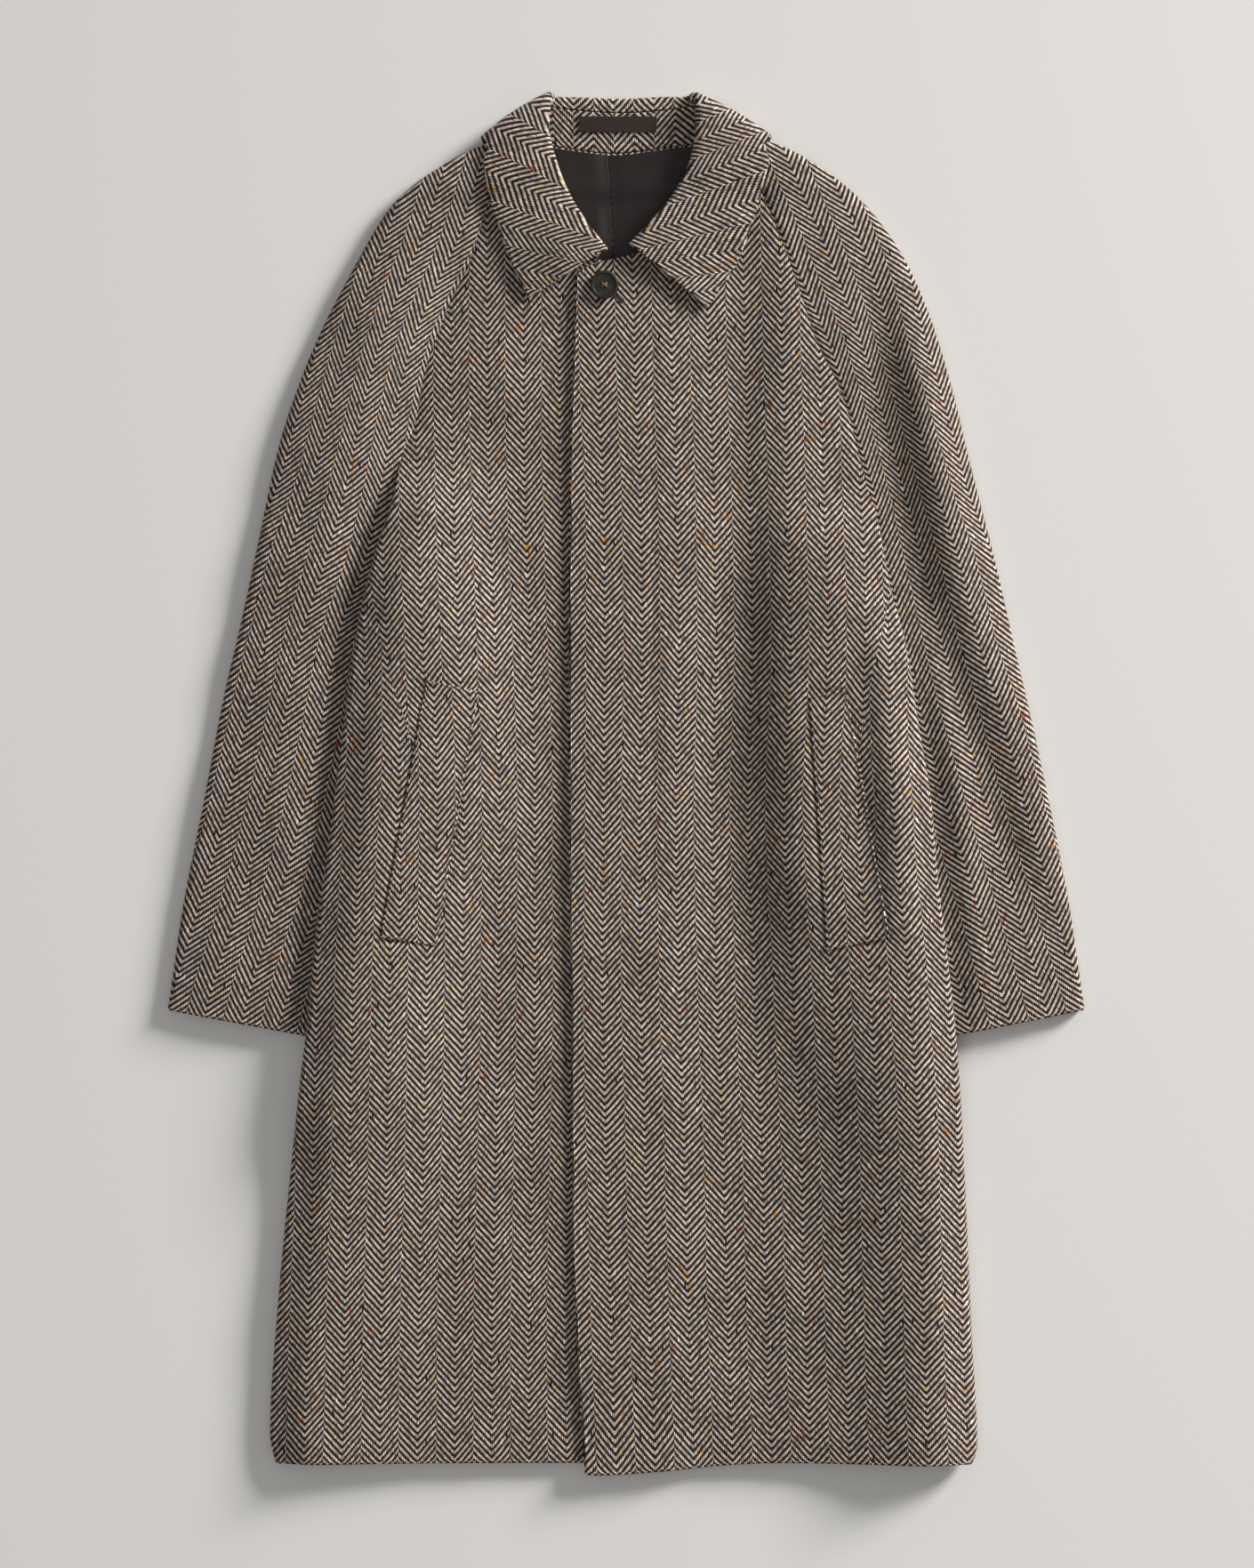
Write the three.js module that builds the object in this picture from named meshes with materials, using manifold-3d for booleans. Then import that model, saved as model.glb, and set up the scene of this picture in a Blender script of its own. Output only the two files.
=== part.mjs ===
// Herringbone wool overcoat with raglan sleeves, buttoned at the neck and laid flat on its back.
// Millimetres. +X is the wearer's left, +Y runs from the hem to the collar, and the coat rests on z = 0.
// Each piece of cloth is a wall carried by its middle surface: a grid of rows down the coat.
import * as THREE from 'three';
import Module from 'manifold-3d';
import { mergeVertices } from 'three/addons/utils/BufferGeometryUtils.js';

const wasm = await Module();
wasm.setup();

// Cloth and the layers it lies in
const WALL = 3; // tweed with its interlining and lining
const SEAM_GAP = 0.4;
const LAYER_AIR = 2.4; // between a back and its front
const AIR_LEAST = 0.9;
const AIR_MOST = 3.8;
const PUFF = 1.1; // extra air along the middle of a sleeve and the sides of the body
const PUFF_ROW = 100; // sleeve rows shorter than this have less of it
const TUCK_CLEARANCE = 1;

// Heights of the main features, as places along Y
const NECK_TOP = 530;
const BACK_NECK = { dip: 7, middle: -10, half: 68, start: 470 };
const FLY_TOP = 421;
const ARMPIT = { right: 271, left: 249 };
const CUFF_INNER = -218;
const HEM = -564;
// The hem drops towards the fly, most at one place, and less again at the fly corner
const HEM_DROP = { most: 9.65, start: -500, at: -30, end: 130, cornerEnd: -27, corner: -60 };

// Fly
const UNDERLAP_EDGE = 24; // edge of the right front below the left front
const MIDDLE = UNDERLAP_EDGE; // where the columns of both halves of the body start
const FLY = { step: 4.2, start: UNDERLAP_EDGE + 6, ramp: 42 }; // the left front climbs over the right one
const FLY_EDGE = { puff: 1.6, from: -42, to: -4 }; // and its edge lies a little higher
const FLY_CORNER = { from: -78, to: -50, low: 445, high: 475 }; // its top corner below the right leaf

// Cells across each piece
const CELLS = { right: 11, left: 10, fly: 3, fold: 3, sleeveBack: 4, sleeveFront: 6, lining: 5, stand: 3 };
const FALL_CELLS = { roll: 4, flat: 5 };
const SLEEVE_ROWS = 8; // from the end of the raglan seam to the cuff

// Seam line of each side, from the neck down the raglan seam and then down the side fold
const SIDE_RIGHT = [
  { y: 530, x: -97 }, { y: 478, x: -115 }, { y: 437, x: -129 }, { y: 390, x: -150 }, { y: 343, x: -167 },
  { y: 300, x: -175 }, { y: 271, x: -186.5 }, { y: 230, x: -195.5 }, { y: 189, x: -209 },
  { y: 149, x: -219 }, { y: 108, x: -226.5 }, { y: 23, x: -237.5 }, { y: -51, x: -247 },
  { y: -118, x: -257 }, { y: -192, x: -264 }, { y: -283, x: -274.5 }, { y: -422, x: -288.5 },
  { y: -540, x: -296 }, { y: -566, x: -291 },
];
const SIDE_LEFT = [
  { y: 530, x: 101 }, { y: 493, x: 112.5 }, { y: 437, x: 134 }, { y: 393, x: 149 }, { y: 371, x: 156 },
  { y: 326, x: 178 }, { y: 293, x: 188 }, { y: 249, x: 199 }, { y: 223, x: 208 }, { y: 163, x: 219 },
  { y: 119, x: 231 }, { y: 51, x: 242 }, { y: -17, x: 253 }, { y: -85, x: 259 }, { y: -162, x: 268.5 },
  { y: -236, x: 275.5 }, { y: -347, x: 282 }, { y: -458, x: 287 }, { y: -548, x: 291.5 }, { y: -566, x: 287 },
];

// Inner edge of each front: neck seam, short top edge, then the centre edge
const INNER_RIGHT = [
  { y: 530, x: -90 }, { y: 500, x: -80 }, { y: 470, x: -63 }, { y: 450, x: -45 }, { y: 438, x: -29 },
  { y: 434, x: -20 }, { y: 430, x: -4 }, { y: 421, x: 24 }, { y: -566, x: 24 },
];
const INNER_LEFT = [
  { y: 530, x: 93 }, { y: 500, x: 80 }, { y: 470, x: 54 }, { y: 450, x: 29 }, { y: 442, x: 16 },
  { y: 438, x: 2 }, { y: 430, x: -30 }, { y: 421, x: -41.5 }, { y: 356, x: -43.5 }, { y: 282, x: -46 },
  { y: 134, x: -47.5 }, { y: -88, x: -46.5 }, { y: -273, x: -45 }, { y: -383, x: -44 }, { y: -454, x: -41 },
  { y: -527, x: -37 }, { y: -566, x: -34 },
];

// Each sleeve row starts at height at on the seam line, or tuck inside the body's side, and ends on its fold
const SLEEVE_RIGHT = [
  { at: 530, tuck: 0, foldX: -102, foldY: 536 }, { at: 505, tuck: 0, foldX: -124, foldY: 528 },
  { at: 478, tuck: 0, foldX: -151, foldY: 514 },
  { at: 437, tuck: 0, foldX: -192, foldY: 483 }, { at: 388, tuck: 0, foldX: -232, foldY: 418 },
  { at: 330, tuck: 0, foldX: -262, foldY: 357 }, { at: 271, tuck: 0, foldX: -289, foldY: 279 },
  { at: 205, tuck: -1, foldX: -304, foldY: 209 }, { at: 140, tuck: 34, foldX: -318.5, foldY: 141 },
  { at: 60, tuck: 62, foldX: -336, foldY: 65 }, { at: -20, tuck: 68, foldX: -350.5, foldY: -12 },
  { at: -105, tuck: 62, foldX: -368, foldY: -100 }, { at: CUFF_INNER, tuck: 46, foldX: -381, foldY: -188 },
];
const SLEEVE_LEFT = [
  { at: 530, tuck: 0, foldX: 106, foldY: 536 }, { at: 505, tuck: 0, foldX: 127, foldY: 530 },
  { at: 478, tuck: 0, foldX: 156, foldY: 515 },
  { at: 437, tuck: 0, foldX: 196, foldY: 484 }, { at: 388, tuck: 0, foldX: 236, foldY: 427 },
  { at: 330, tuck: 0, foldX: 263, foldY: 356 }, { at: 249, tuck: 0, foldX: 289, foldY: 254 },
  { at: 187, tuck: -1, foldX: 306, foldY: 187 }, { at: 125, tuck: 32, foldX: 321, foldY: 121 },
  { at: 55, tuck: 60, foldX: 336, foldY: 56 }, { at: -20, tuck: 66, foldX: 350.5, foldY: -12 },
  { at: -105, tuck: 60, foldX: 368, foldY: -100 }, { at: CUFF_INNER, tuck: 46, foldX: 381, foldY: -188 },
];

// Largest folds: a ridge (+) or trough (-) along a line, with its half width and its rise
const FOLDS = [
  { name: 'trough beside the fly', x1: 90, y1: 440, x2: 92, y2: -273, half: 30, rise: -1.2 },
  { name: 'ridge down the left front', x1: 134, y1: 410, x2: 140, y2: -162, half: 32, rise: 1.3 },
  { name: 'trough past the left pocket', x1: 196, y1: 100, x2: 214, y2: -118, half: 22, rise: -1.1 },
  { name: 'hump at the left raglan', x1: 166, y1: 330, x2: 172, y2: 300, half: 20, rise: 1.1 },
  { name: 'left sleeve, upper valley', x1: 204, y1: 395, x2: 232, y2: 215, half: 24, rise: -1.4 },
  { name: 'left sleeve, lower valley', x1: 240, y1: 195, x2: 322, y2: -40, half: 22, rise: -1.2 },
  { name: 'left sleeve, inner ridge', x1: 258, y1: 110, x2: 284, y2: -140, half: 20, rise: 0.8 },
  { name: 'right sleeve valley', x1: -152, y1: 405, x2: -186, y2: 290, half: 22, rise: -1.1 },
  { name: 'right front ridge', x1: -168, y1: 250, x2: -150, y2: 90, half: 34, rise: 0.9 },
];

// How the body lies over the sleeve tucked below its side
const TUCK_RAMP = 112;
const TUCK_MARGIN = 14;
const TUCK_END = CUFF_INNER - 12; // just past the cuff
const ARMPIT_RISE = 56; // the side climbs to its full height over this length
const CUFF_FALL = 150;
const SIDE_ROLL = { lift: 2.6, reach: 105, top: 20 };
const SIDE_SWELL = { peak: 40, reach: 130, fade: 80, end: 20 };

// Collar, worked round the neck from the right leaf to the left leaf
const COLLAR_CREASE = 3.4; // radius of the middle surface at the roll
const COLLAR_LIFT = { height: 3.6, from: 478, to: 500, reach: 150, fade: 60 };
const COLLAR_SPRING = 2.2;
const COLLAR_REST = 0.8; // between the leaf's edge and what it lies on
const LIP = { width: 7, share: 0.45 }; // at most this share of the way to the neck
const NECK_GAP = 0.9;
const STAND_GAP = { flat: 0.75, turning: 2.1 }; // wider where the collar turns under
const FALL_BULGE = 2.5;
// turn is 0 where the leaf lies on top and 180 where the fall lies below the back
const COLLAR = [
  { rollX: -19, rollY: 440, edgeX: -81, edgeY: 402, neckX: -26, neckY: 436, turn: 0 },
  { rollX: -36, rollY: 462, edgeX: -94, edgeY: 428, neckX: -47, neckY: 453, turn: 0 },
  { rollX: -51, rollY: 487, edgeX: -106, edgeY: 462, neckX: -66, neckY: 474, turn: 0 },
  { rollX: -62, rollY: 514, edgeX: -115, edgeY: 493, neckX: -81, neckY: 502, turn: 0 },
  { rollX: -68, rollY: 541, edgeX: -118, edgeY: 514, neckX: -90, neckY: 529.9, turn: 0 },
  { rollX: -67, rollY: 559, edgeX: -115, edgeY: 526, neckX: -95, neckY: 534, turn: 0 },
  { rollX: -64.5, rollY: 568.5, edgeX: -120.5, edgeY: 535, neckX: -99.5, neckY: 538, turn: 90 },
  { rollX: -59, rollY: 563, edgeX: -112, edgeY: 524, neckX: -90, neckY: 533, turn: 180 },
  { rollX: -38, rollY: 564, edgeX: -62, edgeY: 512, neckX: -56, neckY: 530, turn: 180 },
  { rollX: -3, rollY: 564, edgeX: -3, edgeY: 505, neckX: -3, neckY: 524.5, turn: 180 },
  { rollX: 32, rollY: 566, edgeX: 58, edgeY: 512, neckX: 52, neckY: 530, turn: 180 },
  { rollX: 50, rollY: 564, edgeX: 112, edgeY: 525, neckX: 90, neckY: 533, turn: 180 },
  { rollX: 57, rollY: 568.5, edgeX: 120.5, edgeY: 536, neckX: 103.5, neckY: 539, turn: 90 },
  { rollX: 61, rollY: 560, edgeX: 115, edgeY: 527, neckX: 98, neckY: 534, turn: 0 },
  { rollX: 62, rollY: 541, edgeX: 118, edgeY: 516, neckX: 93, neckY: 530, turn: 0 },
  { rollX: 57, rollY: 514, edgeX: 113, edgeY: 494, neckX: 81, neckY: 502, turn: 0 },
  { rollX: 44, rollY: 488, edgeX: 104, edgeY: 462, neckX: 58, neckY: 474, turn: 0 },
  { rollX: 25, rollY: 464, edgeX: 90, edgeY: 428, neckX: 35, neckY: 456, turn: 0 },
  { rollX: 6, rollY: 444, edgeX: 68, edgeY: 394, neckX: 14, neckY: 441, turn: 0 },
];

// Pocket welts: the corners of each, nearer to and further from the centre front
const WELT = { wall: 2, gap: 0.8, rows: 12, cols: 4 };
const WELTS = {
  right: { top: { innerX: -122, innerY: 76, outerX: -165, outerY: 85 },
    low: { innerX: -157, innerY: -134, outerX: -203, outerY: -127 } },
  left: { top: { innerX: 151, innerY: 72, outerX: 182, outerY: 78 },
    low: { innerX: 166, innerY: -138, outerX: 217, outerY: -127 } },
};

// Lining in the neck opening, and the label on the stand
const LINING = { wall: 1, gap: 0.4, below: 1.5, bottom: 429, topHalf: 93, bottomHalf: 44 };
const BACK_SEAM = { topX: -15, bottomX: -10 };
const LABEL = { wall: 0.8, gap: 0.4, right: -39, left: 25.5, low: 540.5, high: 553.5, rows: 2, cols: 8 };

// Button
const BUTTON = { x: -18, y: 413, radius: 11.7, thick: 3.8, edge: 0.8, rim: 2, dish: 0.9, gap: 0.6 };
const BUTTON_HOLE = { radius: 1.2, spacing: 3.7 };

// Slope-limited curve through a table's rows, in one column, against a key column
function column(rows, key, name) {
  const sorted = [...rows].sort((a, b) => a[key] - b[key]);
  const at = sorted.map((row) => row[key]);
  const value = sorted.map((row) => row[name]);
  const last = at.length - 1;
  const rise = at.slice(1).map((end, i) => (value[i + 1] - value[i]) / (end - at[i]));
  const slope = value.map((_, i) => {
    if (i === 0) return rise[0];
    if (i === last) return rise[last - 1];
    if (rise[i - 1] * rise[i] <= 0) return 0;
    return 2 * rise[i - 1] * rise[i] / (rise[i - 1] + rise[i]);
  });
  return (where) => {
    const t = Math.min(Math.max(where, at[0]), at[last]);
    let i = at.findIndex((end) => end >= t) - 1;
    i = Math.max(i, 0);
    const span = at[i + 1] - at[i];
    const f = (t - at[i]) / span;
    const g = 1 - f;
    return value[i] * g * g * (1 + 2 * f) + value[i + 1] * f * f * (3 - 2 * f)
      + span * f * g * (slope[i] * g - slope[i + 1] * f);
  };
}

// 0 below from, 1 above to, with a soft start and end
function smooth(from, to, value) {
  const t = Math.min(Math.max((value - from) / (to - from), 0), 1);
  return t * t * (3 - 2 * t);
}

const lerp = (a, b, t) => a + (b - a) * t;

// Everything that depends on the side of the body
const SIDES = {
  right: { sign: -1, seam: column(SIDE_RIGHT, 'y', 'x'), inner: column(INNER_RIGHT, 'y', 'x'),
    sleeve: SLEEVE_RIGHT, armpit: ARMPIT.right },
  left: { sign: 1, seam: column(SIDE_LEFT, 'y', 'x'), inner: column(INNER_LEFT, 'y', 'x'),
    sleeve: SLEEVE_LEFT, armpit: ARMPIT.left },
};
for (const side of Object.values(SIDES)) {
  side.tuck = column(side.sleeve, 'at', 'tuck');
  side.foldX = column(side.sleeve, 'at', 'foldX');
  side.foldY = column(side.sleeve, 'at', 'foldY');
  side.tuckStart = side.sleeve.find((row) => row.tuck < 0).at;
}

const sideAt = (x) => (x < 0 ? SIDES.right : SIDES.left);

// The back of the collar lies below the coat at the neck and lifts every layer there
function neckLift(x, y) {
  const along = smooth(COLLAR_LIFT.from, COLLAR_LIFT.to, y);
  const across = 1 - smooth(COLLAR_LIFT.reach, COLLAR_LIFT.reach + COLLAR_LIFT.fade, Math.abs(x));
  return COLLAR_LIFT.height * along * across;
}

// Height of the body's own layers over the tucked sleeve, and the soft roll of the side fold
function bodyLift(x, y) {
  const side = sideAt(x);
  const out = side.sign * x;
  const edge = side.sign * side.seam(y);
  const along = 1 - smooth(side.armpit - ARMPIT_RISE, side.armpit, y);
  const below = smooth(TUCK_END - CUFF_FALL, TUCK_END, y);
  const sleeveInner = edge - Math.max(side.tuck(y), 0);
  const over = smooth(sleeveInner - TUCK_RAMP, sleeveInner - TUCK_MARGIN, out);
  const sleeveHeight = 2 * WALL + LAYER_AIR + PUFF + TUCK_CLEARANCE;
  const roll = SIDE_ROLL.lift * smooth(edge - SIDE_ROLL.reach, edge - SIDE_ROLL.top, out) * (1 - below);
  return along * (sleeveHeight * over * below + roll);
}

// Soft ridge or trough: a rounded hill along a line, fading over its own width at both ends
function foldRise(fold, x, y) {
  const dx = fold.x2 - fold.x1;
  const dy = fold.y2 - fold.y1;
  const length = Math.hypot(dx, dy);
  const along = ((x - fold.x1) * dx + (y - fold.y1) * dy) / length;
  const off = Math.abs((x - fold.x1) * dy - (y - fold.y1) * dx) / length;
  const past = Math.max(-along, along - length, 0);
  const distance = Math.hypot(off, past) / fold.half;
  return distance < 1 ? fold.rise * Math.cos(distance * Math.PI / 2) ** 2 : 0;
}

// Air between a back and its front, with the folds in it
function air(x, y, puff = 0) {
  const rise = FOLDS.reduce((sum, fold) => sum + foldRise(fold, x, y), 0);
  return Math.min(Math.max(LAYER_AIR + rise + puff, AIR_LEAST), AIR_MOST);
}

// The body's front swells a little beside its side fold
function sidePuff(x, y) {
  const side = sideAt(x);
  const inside = side.sign * (side.seam(y) - x);
  const { peak, reach, fade, end } = SIDE_SWELL;
  const swell = smooth(0, peak, inside) * (1 - smooth(peak, reach, inside));
  return PUFF * swell * (1 - smooth(side.armpit - fade, side.armpit - end, y));
}

// Middle surfaces of the layers
const sleeveBack = (x, y) => WALL / 2 + neckLift(x, y);
const sleeveFront = (x, y, puff = 0) => sleeveBack(x, y) + WALL + air(x, y, puff);
const bodyBack = (x, y) => WALL / 2 + neckLift(x, y) + bodyLift(x, y);
const bodyFront = (x, y) => bodyBack(x, y) + WALL + air(x, y, sidePuff(x, y));

// The left front over the right one
function overFront(x, y) {
  const over = 1 - smooth(FLY.start, FLY.start + FLY.ramp, x);
  const edge = 1 - smooth(FLY_EDGE.from, FLY_EDGE.to, x);
  return bodyFront(x, y) + over * FLY.step + edge * FLY_EDGE.puff;
}

// Closed wall round a grid of middle points: points[j][i] runs i across and j along.
// A point may carry its own direction across, where the wall turns or ends at a seam.
function wallGeometry(points, wall) {
  const rows = points.length;
  const cols = points[0].length;
  const outer = [];
  const inner = [];
  for (let j = 0; j < rows; j++) {
    for (let i = 0; i < cols; i++) {
      const across = points[j][i].across?.clone()
        ?? points[j][Math.min(i + 1, cols - 1)].clone().sub(points[j][Math.max(i - 1, 0)]);
      const along = points[Math.min(j + 1, rows - 1)][i].clone().sub(points[Math.max(j - 1, 0)][i]);
      const normal = across.cross(along).normalize().multiplyScalar(wall / 2);
      outer.push(points[j][i].clone().add(normal));
      inner.push(points[j][i].clone().sub(normal));
    }
  }
  const index = [];
  const half = outer.length;
  const id = (i, j) => j * cols + i;
  const quad = (a, b, c, d) => index.push(a, b, c, a, c, d);
  for (let j = 0; j < rows - 1; j++) {
    for (let i = 0; i < cols - 1; i++) {
      quad(id(i, j), id(i + 1, j), id(i + 1, j + 1), id(i, j + 1));
      quad(half + id(i, j), half + id(i, j + 1), half + id(i + 1, j + 1), half + id(i + 1, j));
    }
  }
  const rim = [];
  for (let i = 0; i < cols - 1; i++) rim.push(id(i, 0));
  for (let j = 0; j < rows - 1; j++) rim.push(id(cols - 1, j));
  for (let i = cols - 1; i > 0; i--) rim.push(id(i, rows - 1));
  for (let j = rows - 1; j > 0; j--) rim.push(id(0, j));
  rim.forEach((a, k) => {
    const b = rim[(k + 1) % rim.length];
    quad(a, half + a, half + b, b);
  });
  const geometry = new THREE.BufferGeometry();
  geometry.setFromPoints([...outer, ...inner]);
  geometry.setIndex(index);
  geometry.computeVertexNormals();
  return geometry;
}

// End of a row: where its flat stretch stops, and the arc that turns it towards its partner.
// The arc's radius is half the way to the partner, found in a few rounds.
function rowEnd(edge, inward, curl, height, partner) {
  const stop = curl * Math.PI / 2;
  const reach = (radius) => (WALL / 2 + radius) * Math.sin(stop);
  const spot = (d) => [edge.x + inward.x * d, edge.y + inward.y * d];
  const halfWay = (d) => Math.abs(height(...spot(d)) - partner(...spot(d))) / 2;
  let r = halfWay(0);
  for (let round = 0; round < 3; round++) r = halfWay(reach(r));
  const start = reach(r);
  const top = height(...spot(start));
  const centre = (top + partner(...spot(start))) / 2;
  const last = Math.min(stop, Math.acos(SEAM_GAP / 2 / r));
  const arc = [];
  for (let k = CELLS.fold; k > 0; k--) {
    const turn = last * k / CELLS.fold;
    const [x, y] = spot(start - r * Math.sin(turn));
    const p = new THREE.Vector3(x, y, centre + (top - centre) * Math.cos(turn));
    const fall = Math.sign(top - centre) * Math.sin(turn);
    p.across = new THREE.Vector3(inward.x * Math.cos(turn), inward.y * Math.cos(turn), fall);
    arc.push(p);
  }
  return { start, arc };
}

// Row of middle points from edge a to edge b; a folded end has a curl from 0 to 1, a seamed end has null
function foldedRow(a, b, cells, height, partner, curlA, curlB, heightAt) {
  const way = b.clone().sub(a);
  const length = way.length();
  way.divideScalar(length);
  const back = way.clone().negate();
  const endA = curlA === null ? { start: 0, arc: [] } : rowEnd(a, way, curlA, height, partner);
  const endB = curlB === null ? { start: 0, arc: [] } : rowEnd(b, back, curlB, height, partner);
  const row = [...endA.arc];
  for (let i = 0; i <= cells; i++) {
    const d = lerp(endA.start, length - endB.start, i / cells);
    const x = a.x + way.x * d;
    const y = a.y + way.y * d;
    row.push(new THREE.Vector3(x, y, heightAt ? heightAt(x, y, d / length, length) : height(x, y)));
  }
  endB.arc.forEach((p) => p.across.negate());
  row.push(...endB.arc.reverse());
  return row;
}

// Levels shared by the body and the upper sleeves, so that both sides of a raglan seam meet
const LEVEL_STEPS = [
  { to: 478, rows: 2 }, { to: 450, rows: 1 }, { to: 438, rows: 1 }, { to: 430, rows: 1 },
  { to: FLY_TOP, rows: 1 }, { to: ARMPIT.right, rows: 5 }, { to: ARMPIT.left, rows: 1 },
  { to: 187, rows: 3 }, { to: CUFF_INNER, rows: 9 }, { to: -306, rows: 3 }, { to: -540, rows: 6 },
  { to: HEM, rows: 1 },
];
const LEVELS = [NECK_TOP];
for (const step of LEVEL_STEPS) {
  const from = LEVELS[LEVELS.length - 1];
  for (let k = 1; k <= step.rows; k++) LEVELS.push(lerp(from, step.to, k / step.rows));
}

// The same row from its other end
function turned(row) {
  row.forEach((p) => p.across?.negate());
  return row.reverse();
}

const curlAt = (side, y) => smooth(0, 1, (side.armpit - y) / ARMPIT_RISE);
const point = (x, y) => new THREE.Vector2(x, y);

// The last row follows the hem, which drops towards the fly
function hemDrop(x, y) {
  const { most, start, at, end, cornerEnd, corner } = HEM_DROP;
  return most * (1 - smooth(at, end, x)) * smooth(corner, cornerEnd, x) * smooth(start, HEM, y);
}

// Row of one half of the body, from a point out to the raglan seam or the side fold
function bodyRow(side, from, y, cells, height, partner) {
  const outer = side.seam(y) - side.sign * SEAM_GAP / 2;
  return foldedRow(point(from, y), point(outer, y), cells, height, partner, null, curlAt(side, y));
}

// Right front, under the fly
function frontRightPoints() {
  const side = SIDES.right;
  const row = (y) => bodyRow(side, side.inner(y), y, CELLS.right, bodyFront, bodyBack);
  return LEVELS.map((y) => turned(row(y))).reverse();
}

// Left front: below the neck it has its own columns over the underlap
function frontLeftPoints() {
  const side = SIDES.left;
  return LEVELS.map((y) => {
    const inner = side.inner(y);
    const above = y > FLY_TOP;
    const fly = above ? [] : Array.from({ length: CELLS.fly }, (_, i) => {
      const x = lerp(inner, MIDDLE, i / CELLS.fly);
      return new THREE.Vector3(x, y, overFront(x, y));
    });
    const cells = above ? CELLS.fly + CELLS.left : CELLS.left;
    const row = [...fly, ...bodyRow(side, above ? inner : MIDDLE, y, cells, overFront, bodyBack)];
    row.forEach((p) => { p.y -= hemDrop(p.x, y); });
    return row;
  }).reverse();
}

// Height of a back row at x, with the back neck dipping in its middle
function backLevel(x, y) {
  const { dip, middle, half, start } = BACK_NECK;
  return y - dip * (1 - smooth(0, half, Math.abs(x - middle))) * smooth(start, NECK_TOP, y);
}

// Back: between the two raglan seams and the two side folds
function backPoints() {
  return LEVELS.map((y) => {
    const row = turned(bodyRow(SIDES.right, MIDDLE, y, CELLS.right, bodyBack, bodyFront));
    row.push(...bodyRow(SIDES.left, MIDDLE, y, CELLS.left, bodyBack, bodyFront).slice(1));
    row.forEach((p) => { p.y = backLevel(p.x, y); });
    return row;
  }).reverse();
}

// Where the rows of a sleeve start: the body's levels down to the tuck, then even steps to the cuff
function sleeveLevels(side) {
  const upper = LEVELS.filter((y) => y > side.tuckStart - 1);
  const from = upper[upper.length - 1];
  for (let k = 1; k <= SLEEVE_ROWS; k++) upper.push(lerp(from, CUFF_INNER, k / SLEEVE_ROWS));
  return upper;
}

// Front or back half of a sleeve: from the raglan seam or the tucked fold out to the arm fold
function sleevePoints(side, isFront, cells) {
  const height = isFront ? sleeveFront : sleeveBack;
  const partner = isFront ? sleeveBack : sleeveFront;
  const most = (length) => PUFF * Math.min(length / PUFF_ROW, 1);
  const swell = (x, y, t, length) => sleeveFront(x, y, most(length) * Math.sin(Math.PI * t));
  return sleeveLevels(side).map((at) => {
    const beside = at > side.armpit - 1 ? SEAM_GAP / 2 : SEAM_GAP;
    const inner = side.seam(at) + side.sign * (beside - side.tuck(at));
    const row = foldedRow(point(inner, at), point(side.foldX(at), side.foldY(at)), cells, height, partner,
      curlAt(side, at), 1, isFront ? swell : null);
    return side.sign > 0 ? row : turned(row);
  }).reverse();
}

// Where the stand meets a front: on the straight stretches between the front's rows
function frontNeck(x, y) {
  const side = sideAt(x);
  const below = LEVELS.findIndex((level) => level <= y);
  const [high, low] = [LEVELS[below - 1], LEVELS[below]];
  return lerp(side.inner(low), side.inner(high), (y - low) / (high - low)) - side.sign * NECK_GAP;
}

// The layer that the collar lies on: the left front's top corner also carries part of the right leaf
function carrier(x, y) {
  if (x > 0) return overFront(x, y);
  const { from, to, low, high } = FLY_CORNER;
  const corner = smooth(from, to, x) * (1 - smooth(low, high, y));
  return lerp(bodyFront(x, y), overFront(x, y), corner);
}

// A collar station: its fold line, edge and neck point in space, and the way from inner to outer cloth
function collarStation(row) {
  const turn = THREE.MathUtils.degToRad(row.turn);
  const along = point(row.edgeX - row.rollX, row.edgeY - row.rollY).normalize();
  const outward = new THREE.Vector3(-along.y, along.x, 0);
  if (outward.y < 0) outward.negate();
  const up = outward.multiplyScalar(Math.sin(turn)).add(new THREE.Vector3(0, 0, Math.cos(turn)));
  const front = (1 + Math.cos(turn)) / 2;
  const neckX = row.neckY < NECK_TOP && row.turn < 90 ? frontNeck(row.neckX, row.neckY) : row.neckX;
  const neckY = row.turn > 179 ? backLevel(neckX, NECK_TOP) + NECK_GAP : row.neckY;
  const neckFront = carrier(neckX, neckY);
  const rollZ = lerp(WALL / 2 + COLLAR_CREASE, neckFront + COLLAR_SPRING + COLLAR_CREASE, front);
  const edgeZ = lerp(WALL / 2, carrier(row.edgeX, row.edgeY) + WALL + COLLAR_REST, front);
  const neckZ = lerp(bodyBack(neckX, neckY), neckX < 0 ? bodyFront(neckX, neckY) : neckFront, front);
  return {
    up,
    turning: Math.sin(turn),
    bulge: FALL_BULGE * (1 - smooth(90, 180, row.turn)),
    roll: new THREE.Vector3(row.rollX, row.rollY, rollZ),
    edge: new THREE.Vector3(row.edgeX, row.edgeY, edgeZ),
    neck: new THREE.Vector3(neckX, neckY, neckZ),
  };
}

// Stations between the table's rows
function collarStations(perRow) {
  const keys = COLLAR.map((row, k) => ({ ...row, k }));
  const names = ['rollX', 'rollY', 'edgeX', 'edgeY', 'neckX', 'neckY', 'turn'];
  const curves = Object.fromEntries(names.map((name) => [name, column(keys, 'k', name)]));
  const count = (COLLAR.length - 1) * perRow;
  const stations = [];
  for (let k = 0; k <= count; k++) {
    const at = k / perRow;
    stations.push(collarStation(Object.fromEntries(names.map((name) => [name, curves[name](at)]))));
  }
  return stations;
}

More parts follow.
